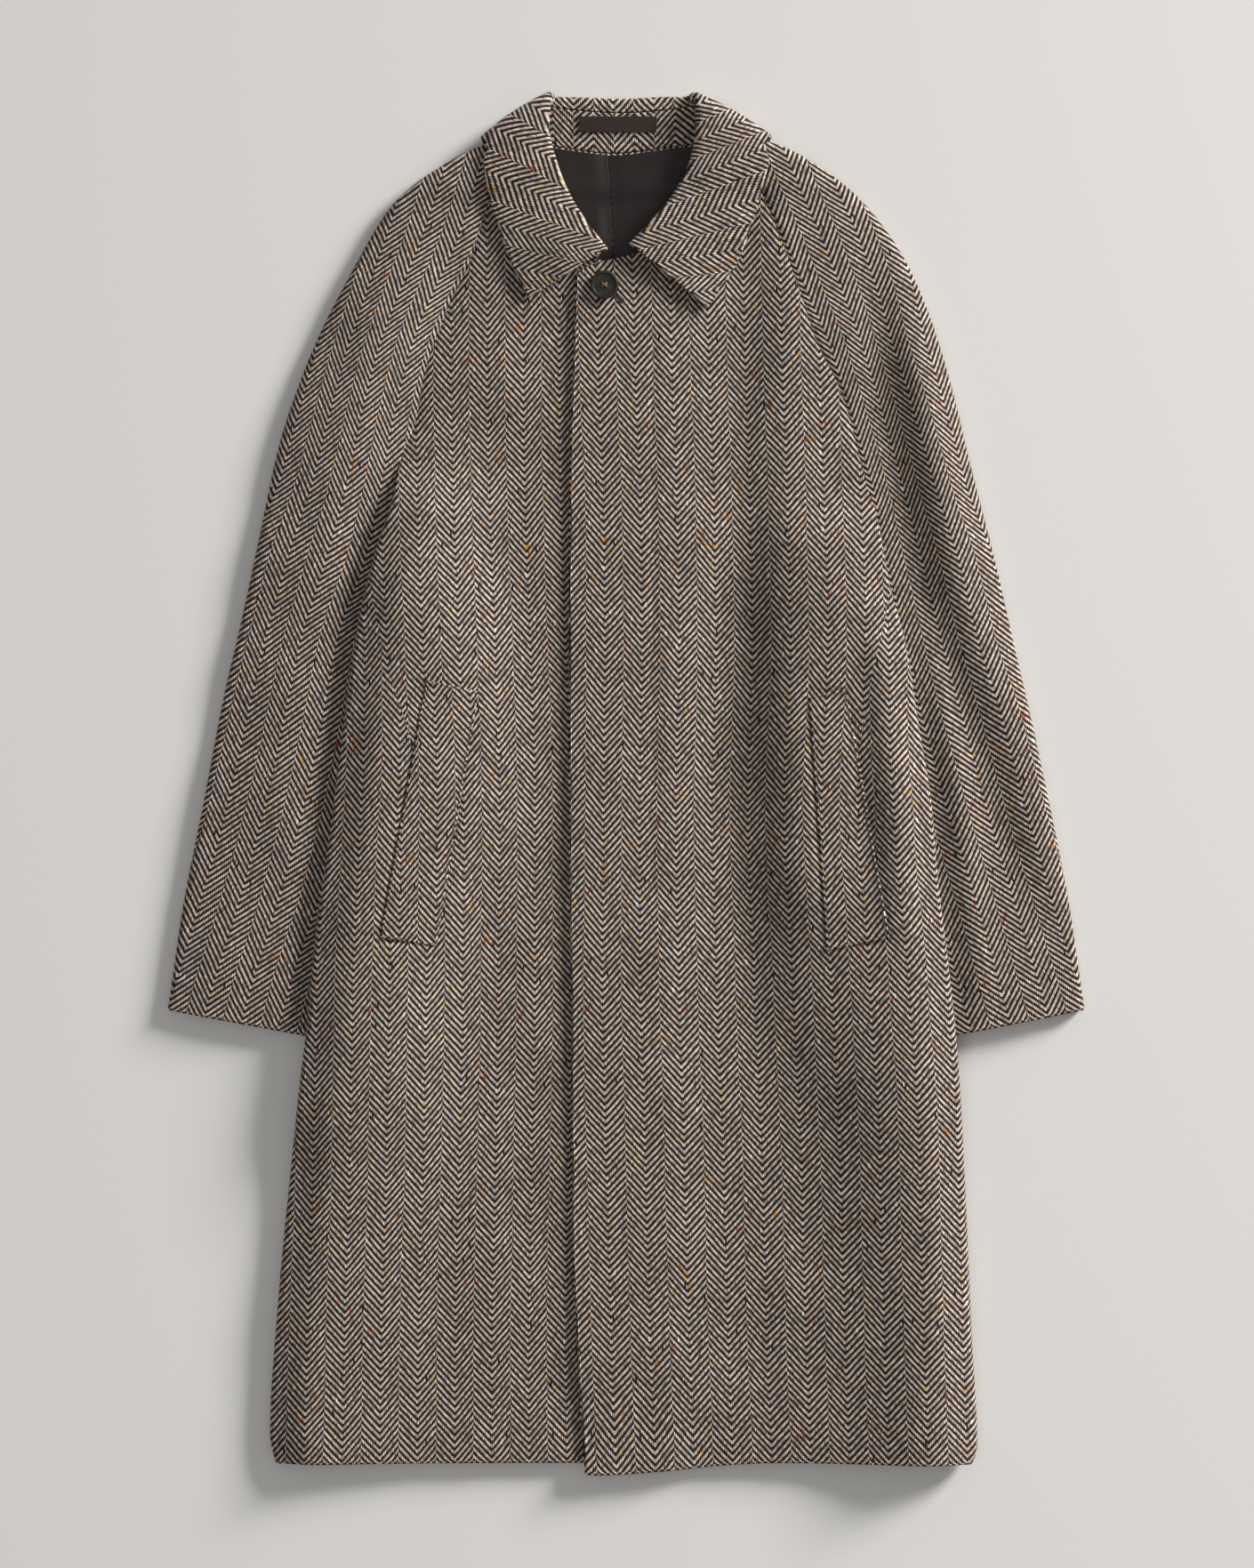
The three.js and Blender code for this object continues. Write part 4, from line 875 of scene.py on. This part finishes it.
class Look:
    """One material's nodes, with short helpers for sums, mixes and noises"""

    def __init__(self, name, roughness, sheen=0.0, sheen_roughness=0.5, specular=0.5):
        self.material = bpy.data.materials.new(name)
        self.material.use_nodes = True
        self.nodes, self.links = self.material.node_tree.nodes, self.material.node_tree.links
        self.shader = self.nodes["Principled BSDF"]
        for socket, value in (("Roughness", roughness), ("Sheen Weight", sheen),
                              ("Sheen Roughness", sheen_roughness), ("Sheen Tint", (1, 0.96, 0.92)),
                              ("Specular IOR Level", specular)):
            self.put(value, self.shader.inputs[socket])

    def put(self, value, socket):
        if isinstance(value, bpy.types.NodeSocket):
            self.links.new(value, socket)
        elif isinstance(value, tuple):
            socket.default_value = (*value, 1)[:len(socket.default_value)]
        else:
            socket.default_value = value

    def node(self, kind, inputs, output=0, **settings):
        """One node with its settings, and its inputs by place or by name"""
        node = self.nodes.new("ShaderNode" + kind)
        for name, value in settings.items():
            setattr(node, name, value)
        for socket, value in inputs.items():
            self.put(value, node.inputs[socket])
        return node.outputs[output]

    def math(self, operation, *values):
        return self.node("Math", dict(enumerate(values)), operation=operation)

    def add(self, a, b):
        return self.math("ADD", a, b)

    def times(self, a, b):
        return self.math("MULTIPLY", a, b)

    def span(self, value, start, end, low=0.0, high=1.0, kind="SMOOTHSTEP"):
        """The value's share of the way from start to end, as a value from low to high"""
        inputs = dict(enumerate((value, start, end, low, high)))
        return self.node("MapRange", inputs, interpolation_type=kind)

    def mix(self, share, a, b, kind="MIX"):
        return self.node("Mix", {0: share, 6: a, 7: b}, 2, data_type="RGBA", blend_type=kind)

    def tint(self, colour, shade):
        """The colour times a brightness"""
        return self.mix(1.0, colour, self.join(shade, shade, shade), "MULTIPLY")

    def parts(self, where):
        """The coordinates of a place, one by one"""
        node = self.nodes.new("ShaderNodeSeparateXYZ")
        self.links.new(where, node.inputs[0])
        return node.outputs[:3]

    def uv(self, name):
        return self.parts(self.node("UVMap", {}, uv_map=name))[:2]

    def place(self):
        return self.node("TexCoord", {}, "Object")

    def join(self, x, y, z=0.0):
        return self.node("CombineXYZ", {0: x, 1: y, 2: z})

    def noise(self, where, scale, detail=2.0, roughness=0.5):
        inputs = dict(Vector=where, Scale=scale, Detail=detail, Roughness=roughness)
        return self.node("TexNoise", inputs, "Fac")

    def chance(self, where):
        """A value between 0 and 1 that is the place's own"""
        return self.node("TexWhiteNoise", dict(Vector=where), "Value", noise_dimensions="3D")

    def ramp(self, value, *stops, constant=True):
        node = self.nodes.new("ShaderNodeValToRGB")
        node.color_ramp.interpolation = "CONSTANT" if constant else "LINEAR"
        while len(node.color_ramp.elements) < len(stops):
            node.color_ramp.elements.new(1)
        for element, (at, colour) in zip(node.color_ramp.elements, stops):
            element.position, element.color = at, (*colour, 1)
        self.put(value, node.inputs[0])
        return node.outputs["Color"]

    def finish(self, colour, height=None, depth=0.0):
        self.put(colour, self.shader.inputs["Base Color"])
        if height is not None:
            self.put(self.node("Bump", dict(Distance=depth, Height=height)), self.shader.inputs["Normal"])
        return self.material


def tweed_look():
    """Herringbone of a 2/2 twill: pale warp over dark brown weft. Twelve ends make a stripe, and each
    end's floats lie one pick higher than its neighbour's, or lower in every other stripe."""
    look = Look("tweed", 0.92, sheen=0.10, sheen_roughness=0.45, specular=0.15)
    m, add, times = look.math, look.add, look.times
    across, along = look.uv("weave")
    out, jump = look.uv("dart")
    place = look.place()
    sway = add(look.noise(place, 22, 1), -0.5)
    drift = add(look.noise(place, 37, 2), -0.5)
    across = add(across, times(sway, STRAY["across"]))
    across = m("SUBTRACT", across, times(jump, m("GREATER_THAN", out, 0.0)))
    along = add(along, times(drift, STRAY["along"]))
    end = times(across, float(ENDS))
    end_index = m("FLOOR", end)
    a = add(m("FRACT", end), -0.5)
    stripe = m("FLOOR", across)
    falling = m("FLOORED_MODULO", stripe, 2.0)
    inside = m("SUBTRACT", end_index, times(stripe, float(ENDS)))
    mirrored = m("SUBTRACT", ENDS + 1.0, inside)
    phase = add(inside, times(falling, m("SUBTRACT", mirrored, inside)))
    phase = add(phase, times(m("FLOOR", times(stripe, 0.5)), 2.0))
    lean = m("SUBTRACT", 1.0, times(falling, 2.0))
    picks = times(along, PICKS)
    turn = times(m("SUBTRACT", picks, phase), 1 / PICKS)
    float_index = m("FLOOR", turn)
    c = add(times(m("FRACT", turn), PICKS), -FLOAT["start"])
    c = m("SUBTRACT", c, times(times(a, lean), FLOAT["slant"]))
    chance = look.chance(look.join(end_index, float_index, 3.0))
    c = add(c, times(add(chance, -0.5), FLOAT["scatter"]))
    other = look.chance(look.join(float_index, end_index, 11.0))
    width = look.span(other, 0, 1, FLOAT["narrow"], FLOAT["wide"], "LINEAR")
    size = add(m("POWER", m("ABSOLUTE", m("DIVIDE", a, width)), FLOAT["side"]),
               m("POWER", m("ABSOLUTE", times(c, 1 / FLOAT["half"])), FLOAT["tip"]))
    coloured = m("GREATER_THAN", chance, SLUB["above"])
    size = times(size, m("SUBTRACT", 1.0, times(coloured, SLUB["swell"])))
    bead = look.span(size, FLOAT["outer"], FLOAT["inner"])
    dome = m("SQRT", m("MAXIMUM", m("SUBTRACT", FLOAT["dome"], size), 0.0))
    fibre = look.noise(place, 2600, 3, 0.65)
    fuzz = look.noise(place, 900, 2)
    shade = add(look.span(chance, 0, 1, 0.50, 1.28, "LINEAR"), times(add(fibre, -0.5), 0.5))
    pale = look.tint(LIGHT_YARN, shade)
    warm = look.mix(look.span(other, 0.6, 1.0, 0, 0.5, "LINEAR"), pale, (0.47, 0.36, 0.27))
    slub = look.ramp(other, (0, (0.60, 0.25, 0.06)), (0.3, (0.40, 0.10, 0.03)), (0.48, (0.64, 0.38, 0.11)),
                     (0.72, (0.02, 0.015, 0.012)), (0.86, (0.85, 0.82, 0.78)))
    warm = look.mix(coloured, warm, slub)
    dark = look.tint(DARK_YARN, add(0.62, times(fuzz, 0.8)))
    nap = look.span(fibre, 0.56, 0.82, 0, 0.13)
    dark = look.mix(nap, dark, (0.30, 0.25, 0.21))
    colour = look.mix(bead, dark, warm)
    mottle = look.span(look.noise(place, 60, 3, 0.6), 0.25, 0.75, 0.88, 1.10, "LINEAR")
    colour = look.tint(colour, mottle)
    weft_round = m("SINE", times(m("FRACT", picks), math.pi))
    low = add(times(weft_round, WEAVE_DEPTH["weft"]), times(fuzz, WEAVE_DEPTH["fuzz"]))
    return look.finish(colour, add(times(dome, WEAVE_DEPTH["warp"]), low), WEAVE_DEPTH["metres"])


def satin_look():
    """Dark satin lining: fine warp ribs and a soft warm grey shine"""
    look = Look("lining_satin", 0.45, sheen=0.04, sheen_roughness=0.4, specular=0.3)
    place = look.place()
    tone = look.span(look.noise(place, 45, 2), 0.3, 0.7, 0.85, 1.15, "LINEAR")
    colour = look.tint((0.0185, 0.0145, 0.0137), tone)
    stretched = look.node("Mapping", dict(Vector=place, Scale=(9.0, 0.8, 1.0)))
    return look.finish(colour, look.noise(stretched, 420, 2), 0.00006)


def label_look():
    """Plain dark brown woven ribbon"""
    look = Look("woven_label", 0.75, sheen=0.1, specular=0.25)
    grain = look.noise(look.place(), 1900, 2, 0.6)
    shade = look.span(grain, 0.3, 0.7, 0.7, 1.3, "LINEAR")
    return look.finish(look.tint((0.034, 0.021, 0.016), shade), grain, 0.00012)


def button_look():
    """Matt horn, dark green-black with faint streaks"""
    look = Look("dark_button", 0.42, specular=0.35)
    streak = look.noise(look.place(), 160, 4, 0.6)
    colour = look.ramp(streak, (0.3, (0.011, 0.011, 0.009)), (0.7, (0.028, 0.027, 0.021)), constant=False)
    return look.finish(colour, streak, 0.00003)


def thread_look(name, colour):
    """Sewing thread with a faint twist"""
    look = Look(name, 0.8, sheen=0.1, specular=0.25)
    twist = look.noise(look.place(), 2400, 2)
    shade = look.span(twist, 0.3, 0.7, 0.75, 1.2, "LINEAR")
    return look.finish(look.tint(colour, shade), twist, 0.0001)


def floor_look():
    """Plain pale board with a painted gradient of light: a little brighter towards the hem's end"""
    look = Look("pale_floor_painted_light", 0.85, specular=0.2)
    # Painted light: the board's colour grows brighter towards the hem's end, a gradient of light painted on
    # the floor
    tone = look.span(look.parts(look.place())[1], -0.65, 0.65, 1.07, 0.98, "LINEAR")
    return look.finish(look.tint(FLOOR["colour"], tone))


# Put together

TWEED = tweed_look()


def main_pieces():
    """Every cloth piece by the name of the solid that it replaces"""
    pieces = {}
    seams = (FREE_EDGE, SEAM_EDGE, SEAM_EDGE, SEAM_EDGE)
    shapes = dict(
        front_right=(front_right(), "front_right", RIGHT, (FREE_EDGE, FREE_EDGE, SEAM_EDGE, SEAM_EDGE)),
        front_left=(front_left(), "front_left", LEFT, (FREE_EDGE, SEAM_EDGE, SEAM_EDGE, FREE_EDGE)),
        back=(back(), "back", None, seams),
    )
    for side in (RIGHT, LEFT):
        for half in ("front", "back"):
            rows = sleeve_half(side, half == "front")
            shapes[f"sleeve_{half}_{side.name}"] = (rows, f"sleeve_{side.name}", None, seams)
    for node, ((points, plan), stripes, side, rounding) in shapes.items():
        dart = dart_place(side, plan) if side else None
        pieces[node] = cloth_piece(node, points, stripe_place(stripes, plan), rounding, dart)
    stations = collar_stations()
    fall_edges = (FALL_ENDS, FREE_EDGE, FALL_ENDS, SEAM_EDGE)
    for node, points, stripes, rounding in (
            ("collar_fall", collar_fall(stations), FALL_STRIPES, fall_edges),
            ("collar_stand", collar_stand(stations), STAND_STRIPES, SEAM_EDGE)):
        weave = collar_place(stations, points, stripes["first"], stripes["pitch"])
        pieces[node] = cloth_piece(node, points, weave, rounding)
    for side in (RIGHT, LEFT):
        node, points = f"pocket_welt_{side.name}", welt_shape(side)
        weave = stripe_place(f"front_{side.name}", points, WELT_OFFSET[side.name])
        pieces[node] = cloth_piece(node, points, weave, WELT["rounding"], wall=WELT["wall"])
    satin = satin_look()
    for side in (RIGHT, LEFT):
        node = f"lining_{side.name}"
        pieces[node] = plain_piece(node, lining_half(side), LINING["wall"], LINING["rounding"], satin)
    pieces["neck_label"] = plain_piece("neck_label", label_shape(stations), LABEL["wall"], LABEL["rounding"],
                                       label_look())
    return pieces


def place_button():
    """The button from its solid, lifted to lie on the finished front"""
    mesh = bpy.data.objects["button"].data.copy()
    spots = np.empty(len(mesh.vertices) * 3, np.float32)
    mesh.vertices.foreach_get("co", spots)
    spots = spots.reshape(-1, 3)
    spots[:, 2] += button_base() * MM - spots[:, 2].min()
    mesh.vertices.foreach_set("co", spots.ravel())
    mesh.materials.clear()
    mesh.materials.append(button_look())
    mesh.update()
    return put_object("button_finished", mesh)


def button_base():
    """Height of the button's underside: on the front's highest place below its rim"""
    angle = np.linspace(0, 2 * math.pi, 24)
    x, y = BUTTON["x"] + BUTTON["radius"] * np.cos(angle), BUTTON["y"] + BUTTON["radius"] * np.sin(angle)
    return over_front(x, y).max() + WALL / 2 + BUTTON["gap"]


PIECES = main_pieces()
PIECES["button"] = place_button()
for node, piece in PIECES.items():
    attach(piece, "root")
    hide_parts(node)


# Sewing

# Where a stitch's two narrower rings stand and how wide they are, as a share of its half length and width
SHOULDER = 0.72
STITCH_SHIFT = 0.15
STITCHES = dict(
    welt=dict(step=3.2, half_length=1.15, half_width=0.32, sink=0.05, seed=3),
    fly=dict(step=4.2, half_length=1.2, half_width=0.34, sink=0.12, seed=4),
    label=dict(step=1.5, half_length=0.55, half_width=0.16, sink=-0.1, seed=5),
    # slit: wide, overlapping dark beads along the buttonhole's slit, painted shade of its opening
    slit=dict(step=1.6, half_length=1.5, half_width=0.75, sink=0.0, seed=6),
    edge=dict(step=1.1, half_length=0.9, half_width=0.42, sink=0.0, seed=7),
)
# The buttonhole's slit is drawn as a row of dark beads: painted shade of its opening
BUTTONHOLE = dict(slit=[(-9.5, 406.5), (-3.0, 399.6)],
                  edge=[(-9.0, 408.3), (-1.6, 400.6), (-1.9, 398.4), (-4.3, 398.6), (-11.3, 405.6)])


def beads(name, centres, ways, normals, half_length, half_width, material):
    """Stitches as one mesh: each a small rounded grain along its way, with six sides and two points"""
    ways, normals = unit(ways), unit(normals)
    sides = unit(np.cross(normals, ways))
    angle = np.arange(6) * math.pi / 3
    rings = []
    ring = sides[:, None] * np.cos(angle)[None, :, None] + normals[:, None] * np.sin(angle)[None, :, None]
    for share, size in ((-SHOULDER, SHOULDER), (0.0, 1.0), (SHOULDER, SHOULDER)):
        rings.append(centres[:, None] + ways[:, None] * half_length * share + half_width * size * ring)
    tips = np.stack([centres - ways * half_length, centres + ways * half_length], axis=1)
    vertices = np.concatenate([*rings, tips], axis=1)
    around = np.arange(6)
    after = (around + 1) % 6
    quads = [np.stack([k + around, k + after, k + 6 + after, k + 6 + around], axis=-1) for k in (0, 6)]
    low = np.stack([np.full(6, 18), after, around], axis=-1)
    high = np.stack([np.full(6, 19), 12 + around, 12 + after], axis=-1)
    halves = [quad[:, corners] for corners in ([0, 1, 2], [0, 2, 3]) for quad in quads]
    triangles = np.concatenate([low, high, *halves])
    faces = (triangles[None] + 20 * np.arange(len(centres))[:, None, None]).reshape(-1, 3)
    return put_mesh(name, vertices.reshape(-1, 3), faces, material)


def along_line(corners, step, seed):
    """Evenly spaced places along a line of plan points, each a little off, with the line's way there"""
    corners = np.array(corners, float)
    run = np.concatenate([[0], np.linalg.norm(np.diff(corners, axis=0), axis=1).cumsum()])
    s = np.arange(step / 2, run[-1], step)
    s = s + np.random.default_rng(seed).uniform(-STITCH_SHIFT, STITCH_SHIFT, len(s)) * step

    def on_line(where):
        return np.stack([np.interp(where, run, corners[:, k]) for k in (0, 1)], axis=-1)

    return on_line(s), on_line(s + 0.5) - on_line(s - 0.5)


def sew(name, corners, height, thread, step, half_length, half_width, sink, seed):
    """A row of stitches on a surface of the given height"""
    spot, way = along_line(corners, step, seed)
    x, y = spot[:, 0], spot[:, 1]
    centres = vector(x, y, height(x, y) - sink)
    up = vector(0 * x, 0 * x, 1 + 0 * x)
    return beads(name, centres, vector(way[:, 0], way[:, 1], 0), up, half_length, half_width, thread)


def left_face(x, y):
    """Upper face of the left front"""
    return over_front(x, y) + WALL / 2


def welt_stitches(side, thread):
    """Round the welt, a little inside its edge"""
    low, top = WELTS[side.name]
    corners = [low[0], low[1], top[1], top[0], low[0]]
    middle = np.mean(corners[:4], axis=0)
    inset = [c + WELT["stitch"] * np.sign(middle - c) for c in corners]
    front = over_front if side.sign > 0 else body_front
    height = lambda x, y: front(x, y) + WALL / 2 + WELT["gap"] + WELT["wall"]
    return sew(f"welt_stitches_{side.name}", inset, height, thread, **STITCHES["welt"])


def label_stitches(thread):
    """A short row at each end of the label"""
    level = label_shape(collar_stations())[..., 2].mean() + LABEL["wall"] / 2
    for k, x in enumerate((LABEL["right"] + LABEL["stitch"], LABEL["left"] - LABEL["stitch"])):
        line = [(x, LABEL["low"] + 1), (x, LABEL["high"] - 1)]
        yield sew(f"label_stitches_{k}", line, lambda x, y: 0 * x + level, thread, **STITCHES["label"])


def button_thread(thread):
    """Two crossed stitches over the button's middle, and one at each side"""
    x, y, half = BUTTON["x"], BUTTON["y"], BUTTON["spacing"] / 2
    base = button_base() + BUTTON["thick"] - BUTTON["dish"]
    centres = [(x, y, base + 0.5), (x, y, base + 0.9), (x - half, y, base + 0.3), (x + half, y, base + 0.3)]
    ways = np.array([(1, 1, 0), (1, -1, 0), (0, 1, 0), (0, 1, 0)], float)
    up = vector(np.zeros(4), 0, 1)
    return beads("button_thread", np.array(centres), ways, up, half * 1.5, 0.55, thread)


def sewing():
    """Every row of stitches, and the buttonhole with its slit drawn as a row of dark beads: painted shade in
    the opening
    """
    # The dark thread colours the real stitches and also the buttonhole's slit, where it is painted shade
    dark = thread_look("dark_thread_and_slit_shade", (0.030, 0.021, 0.017))
    tan = thread_look("tan_thread", (0.27, 0.17, 0.09))
    hole_thread = thread_look("buttonhole_thread", (0.085, 0.060, 0.045))
    x, top, low = (FLY_STITCH[name] for name in ("x", "top", "low"))
    fly = [(x, top), (x, 0), (x + 0.5, low)]
    return [
        welt_stitches(RIGHT, dark),
        welt_stitches(LEFT, dark),
        sew("fly_stitches", fly, left_face, dark, **STITCHES["fly"]),
        *label_stitches(dark),
        button_thread(tan),
        # Painted shade: dark beads stand for the shade inside the buttonhole's slit
        sew("buttonhole_slit_painted_shade", BUTTONHOLE["slit"], left_face, dark, **STITCHES["slit"]),
        sew("buttonhole_stitches", BUTTONHOLE["edge"], left_face, hole_thread, **STITCHES["edge"]),
    ]


for stitches in sewing():
    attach(stitches, "root")


# Floor, light and camera

def floor():
    """One large square"""
    half, level = FLOOR["half"], FLOOR["level"]
    vertices = vector(np.array([-half, half, half, -half]), np.array([-half, -half, half, half]), level)
    return put_mesh("floor", vertices, [(0, 1, 2, 3)], floor_look(), smooth_faces=False)


def aim(light):
    """Turn a light's own -Z towards the middle of the coat"""
    light.rotation_euler = (-light.location).to_track_quat("-Z", "Y").to_euler()


def lights():
    """Two square lamps, and an even weak light from the room"""
    for name, lamp in (("key_light", KEY), ("fill_light", FILL)):
        data = bpy.data.lights.new(name, "AREA")
        data.shape, data.size, data.energy, data.color = "SQUARE", lamp["size"], lamp["watts"], lamp["colour"]
        aim(put_object(name, data, lamp["spot"]))
    world = bpy.data.worlds.new("room")
    world.use_nodes = True
    world.node_tree.nodes["Background"].inputs["Color"].default_value = ROOM["colour"]
    world.node_tree.nodes["Background"].inputs["Strength"].default_value = ROOM["strength"]
    bpy.context.scene.world = world


def camera():
    """Straight above, with the lens that covers the photo's height"""
    data = bpy.data.cameras.new("camera")
    data.sensor_fit, data.sensor_width = "AUTO", CAMERA["wide"]
    data.lens = CAMERA["wide"] * CAMERA["spot"][2] / CAMERA["covers"]
    data.clip_end = 20
    bpy.context.scene.camera = put_object("camera", data, CAMERA["spot"])


ground = floor()
lights()
camera()
bpy.context.scene.view_settings.view_transform = "Standard"
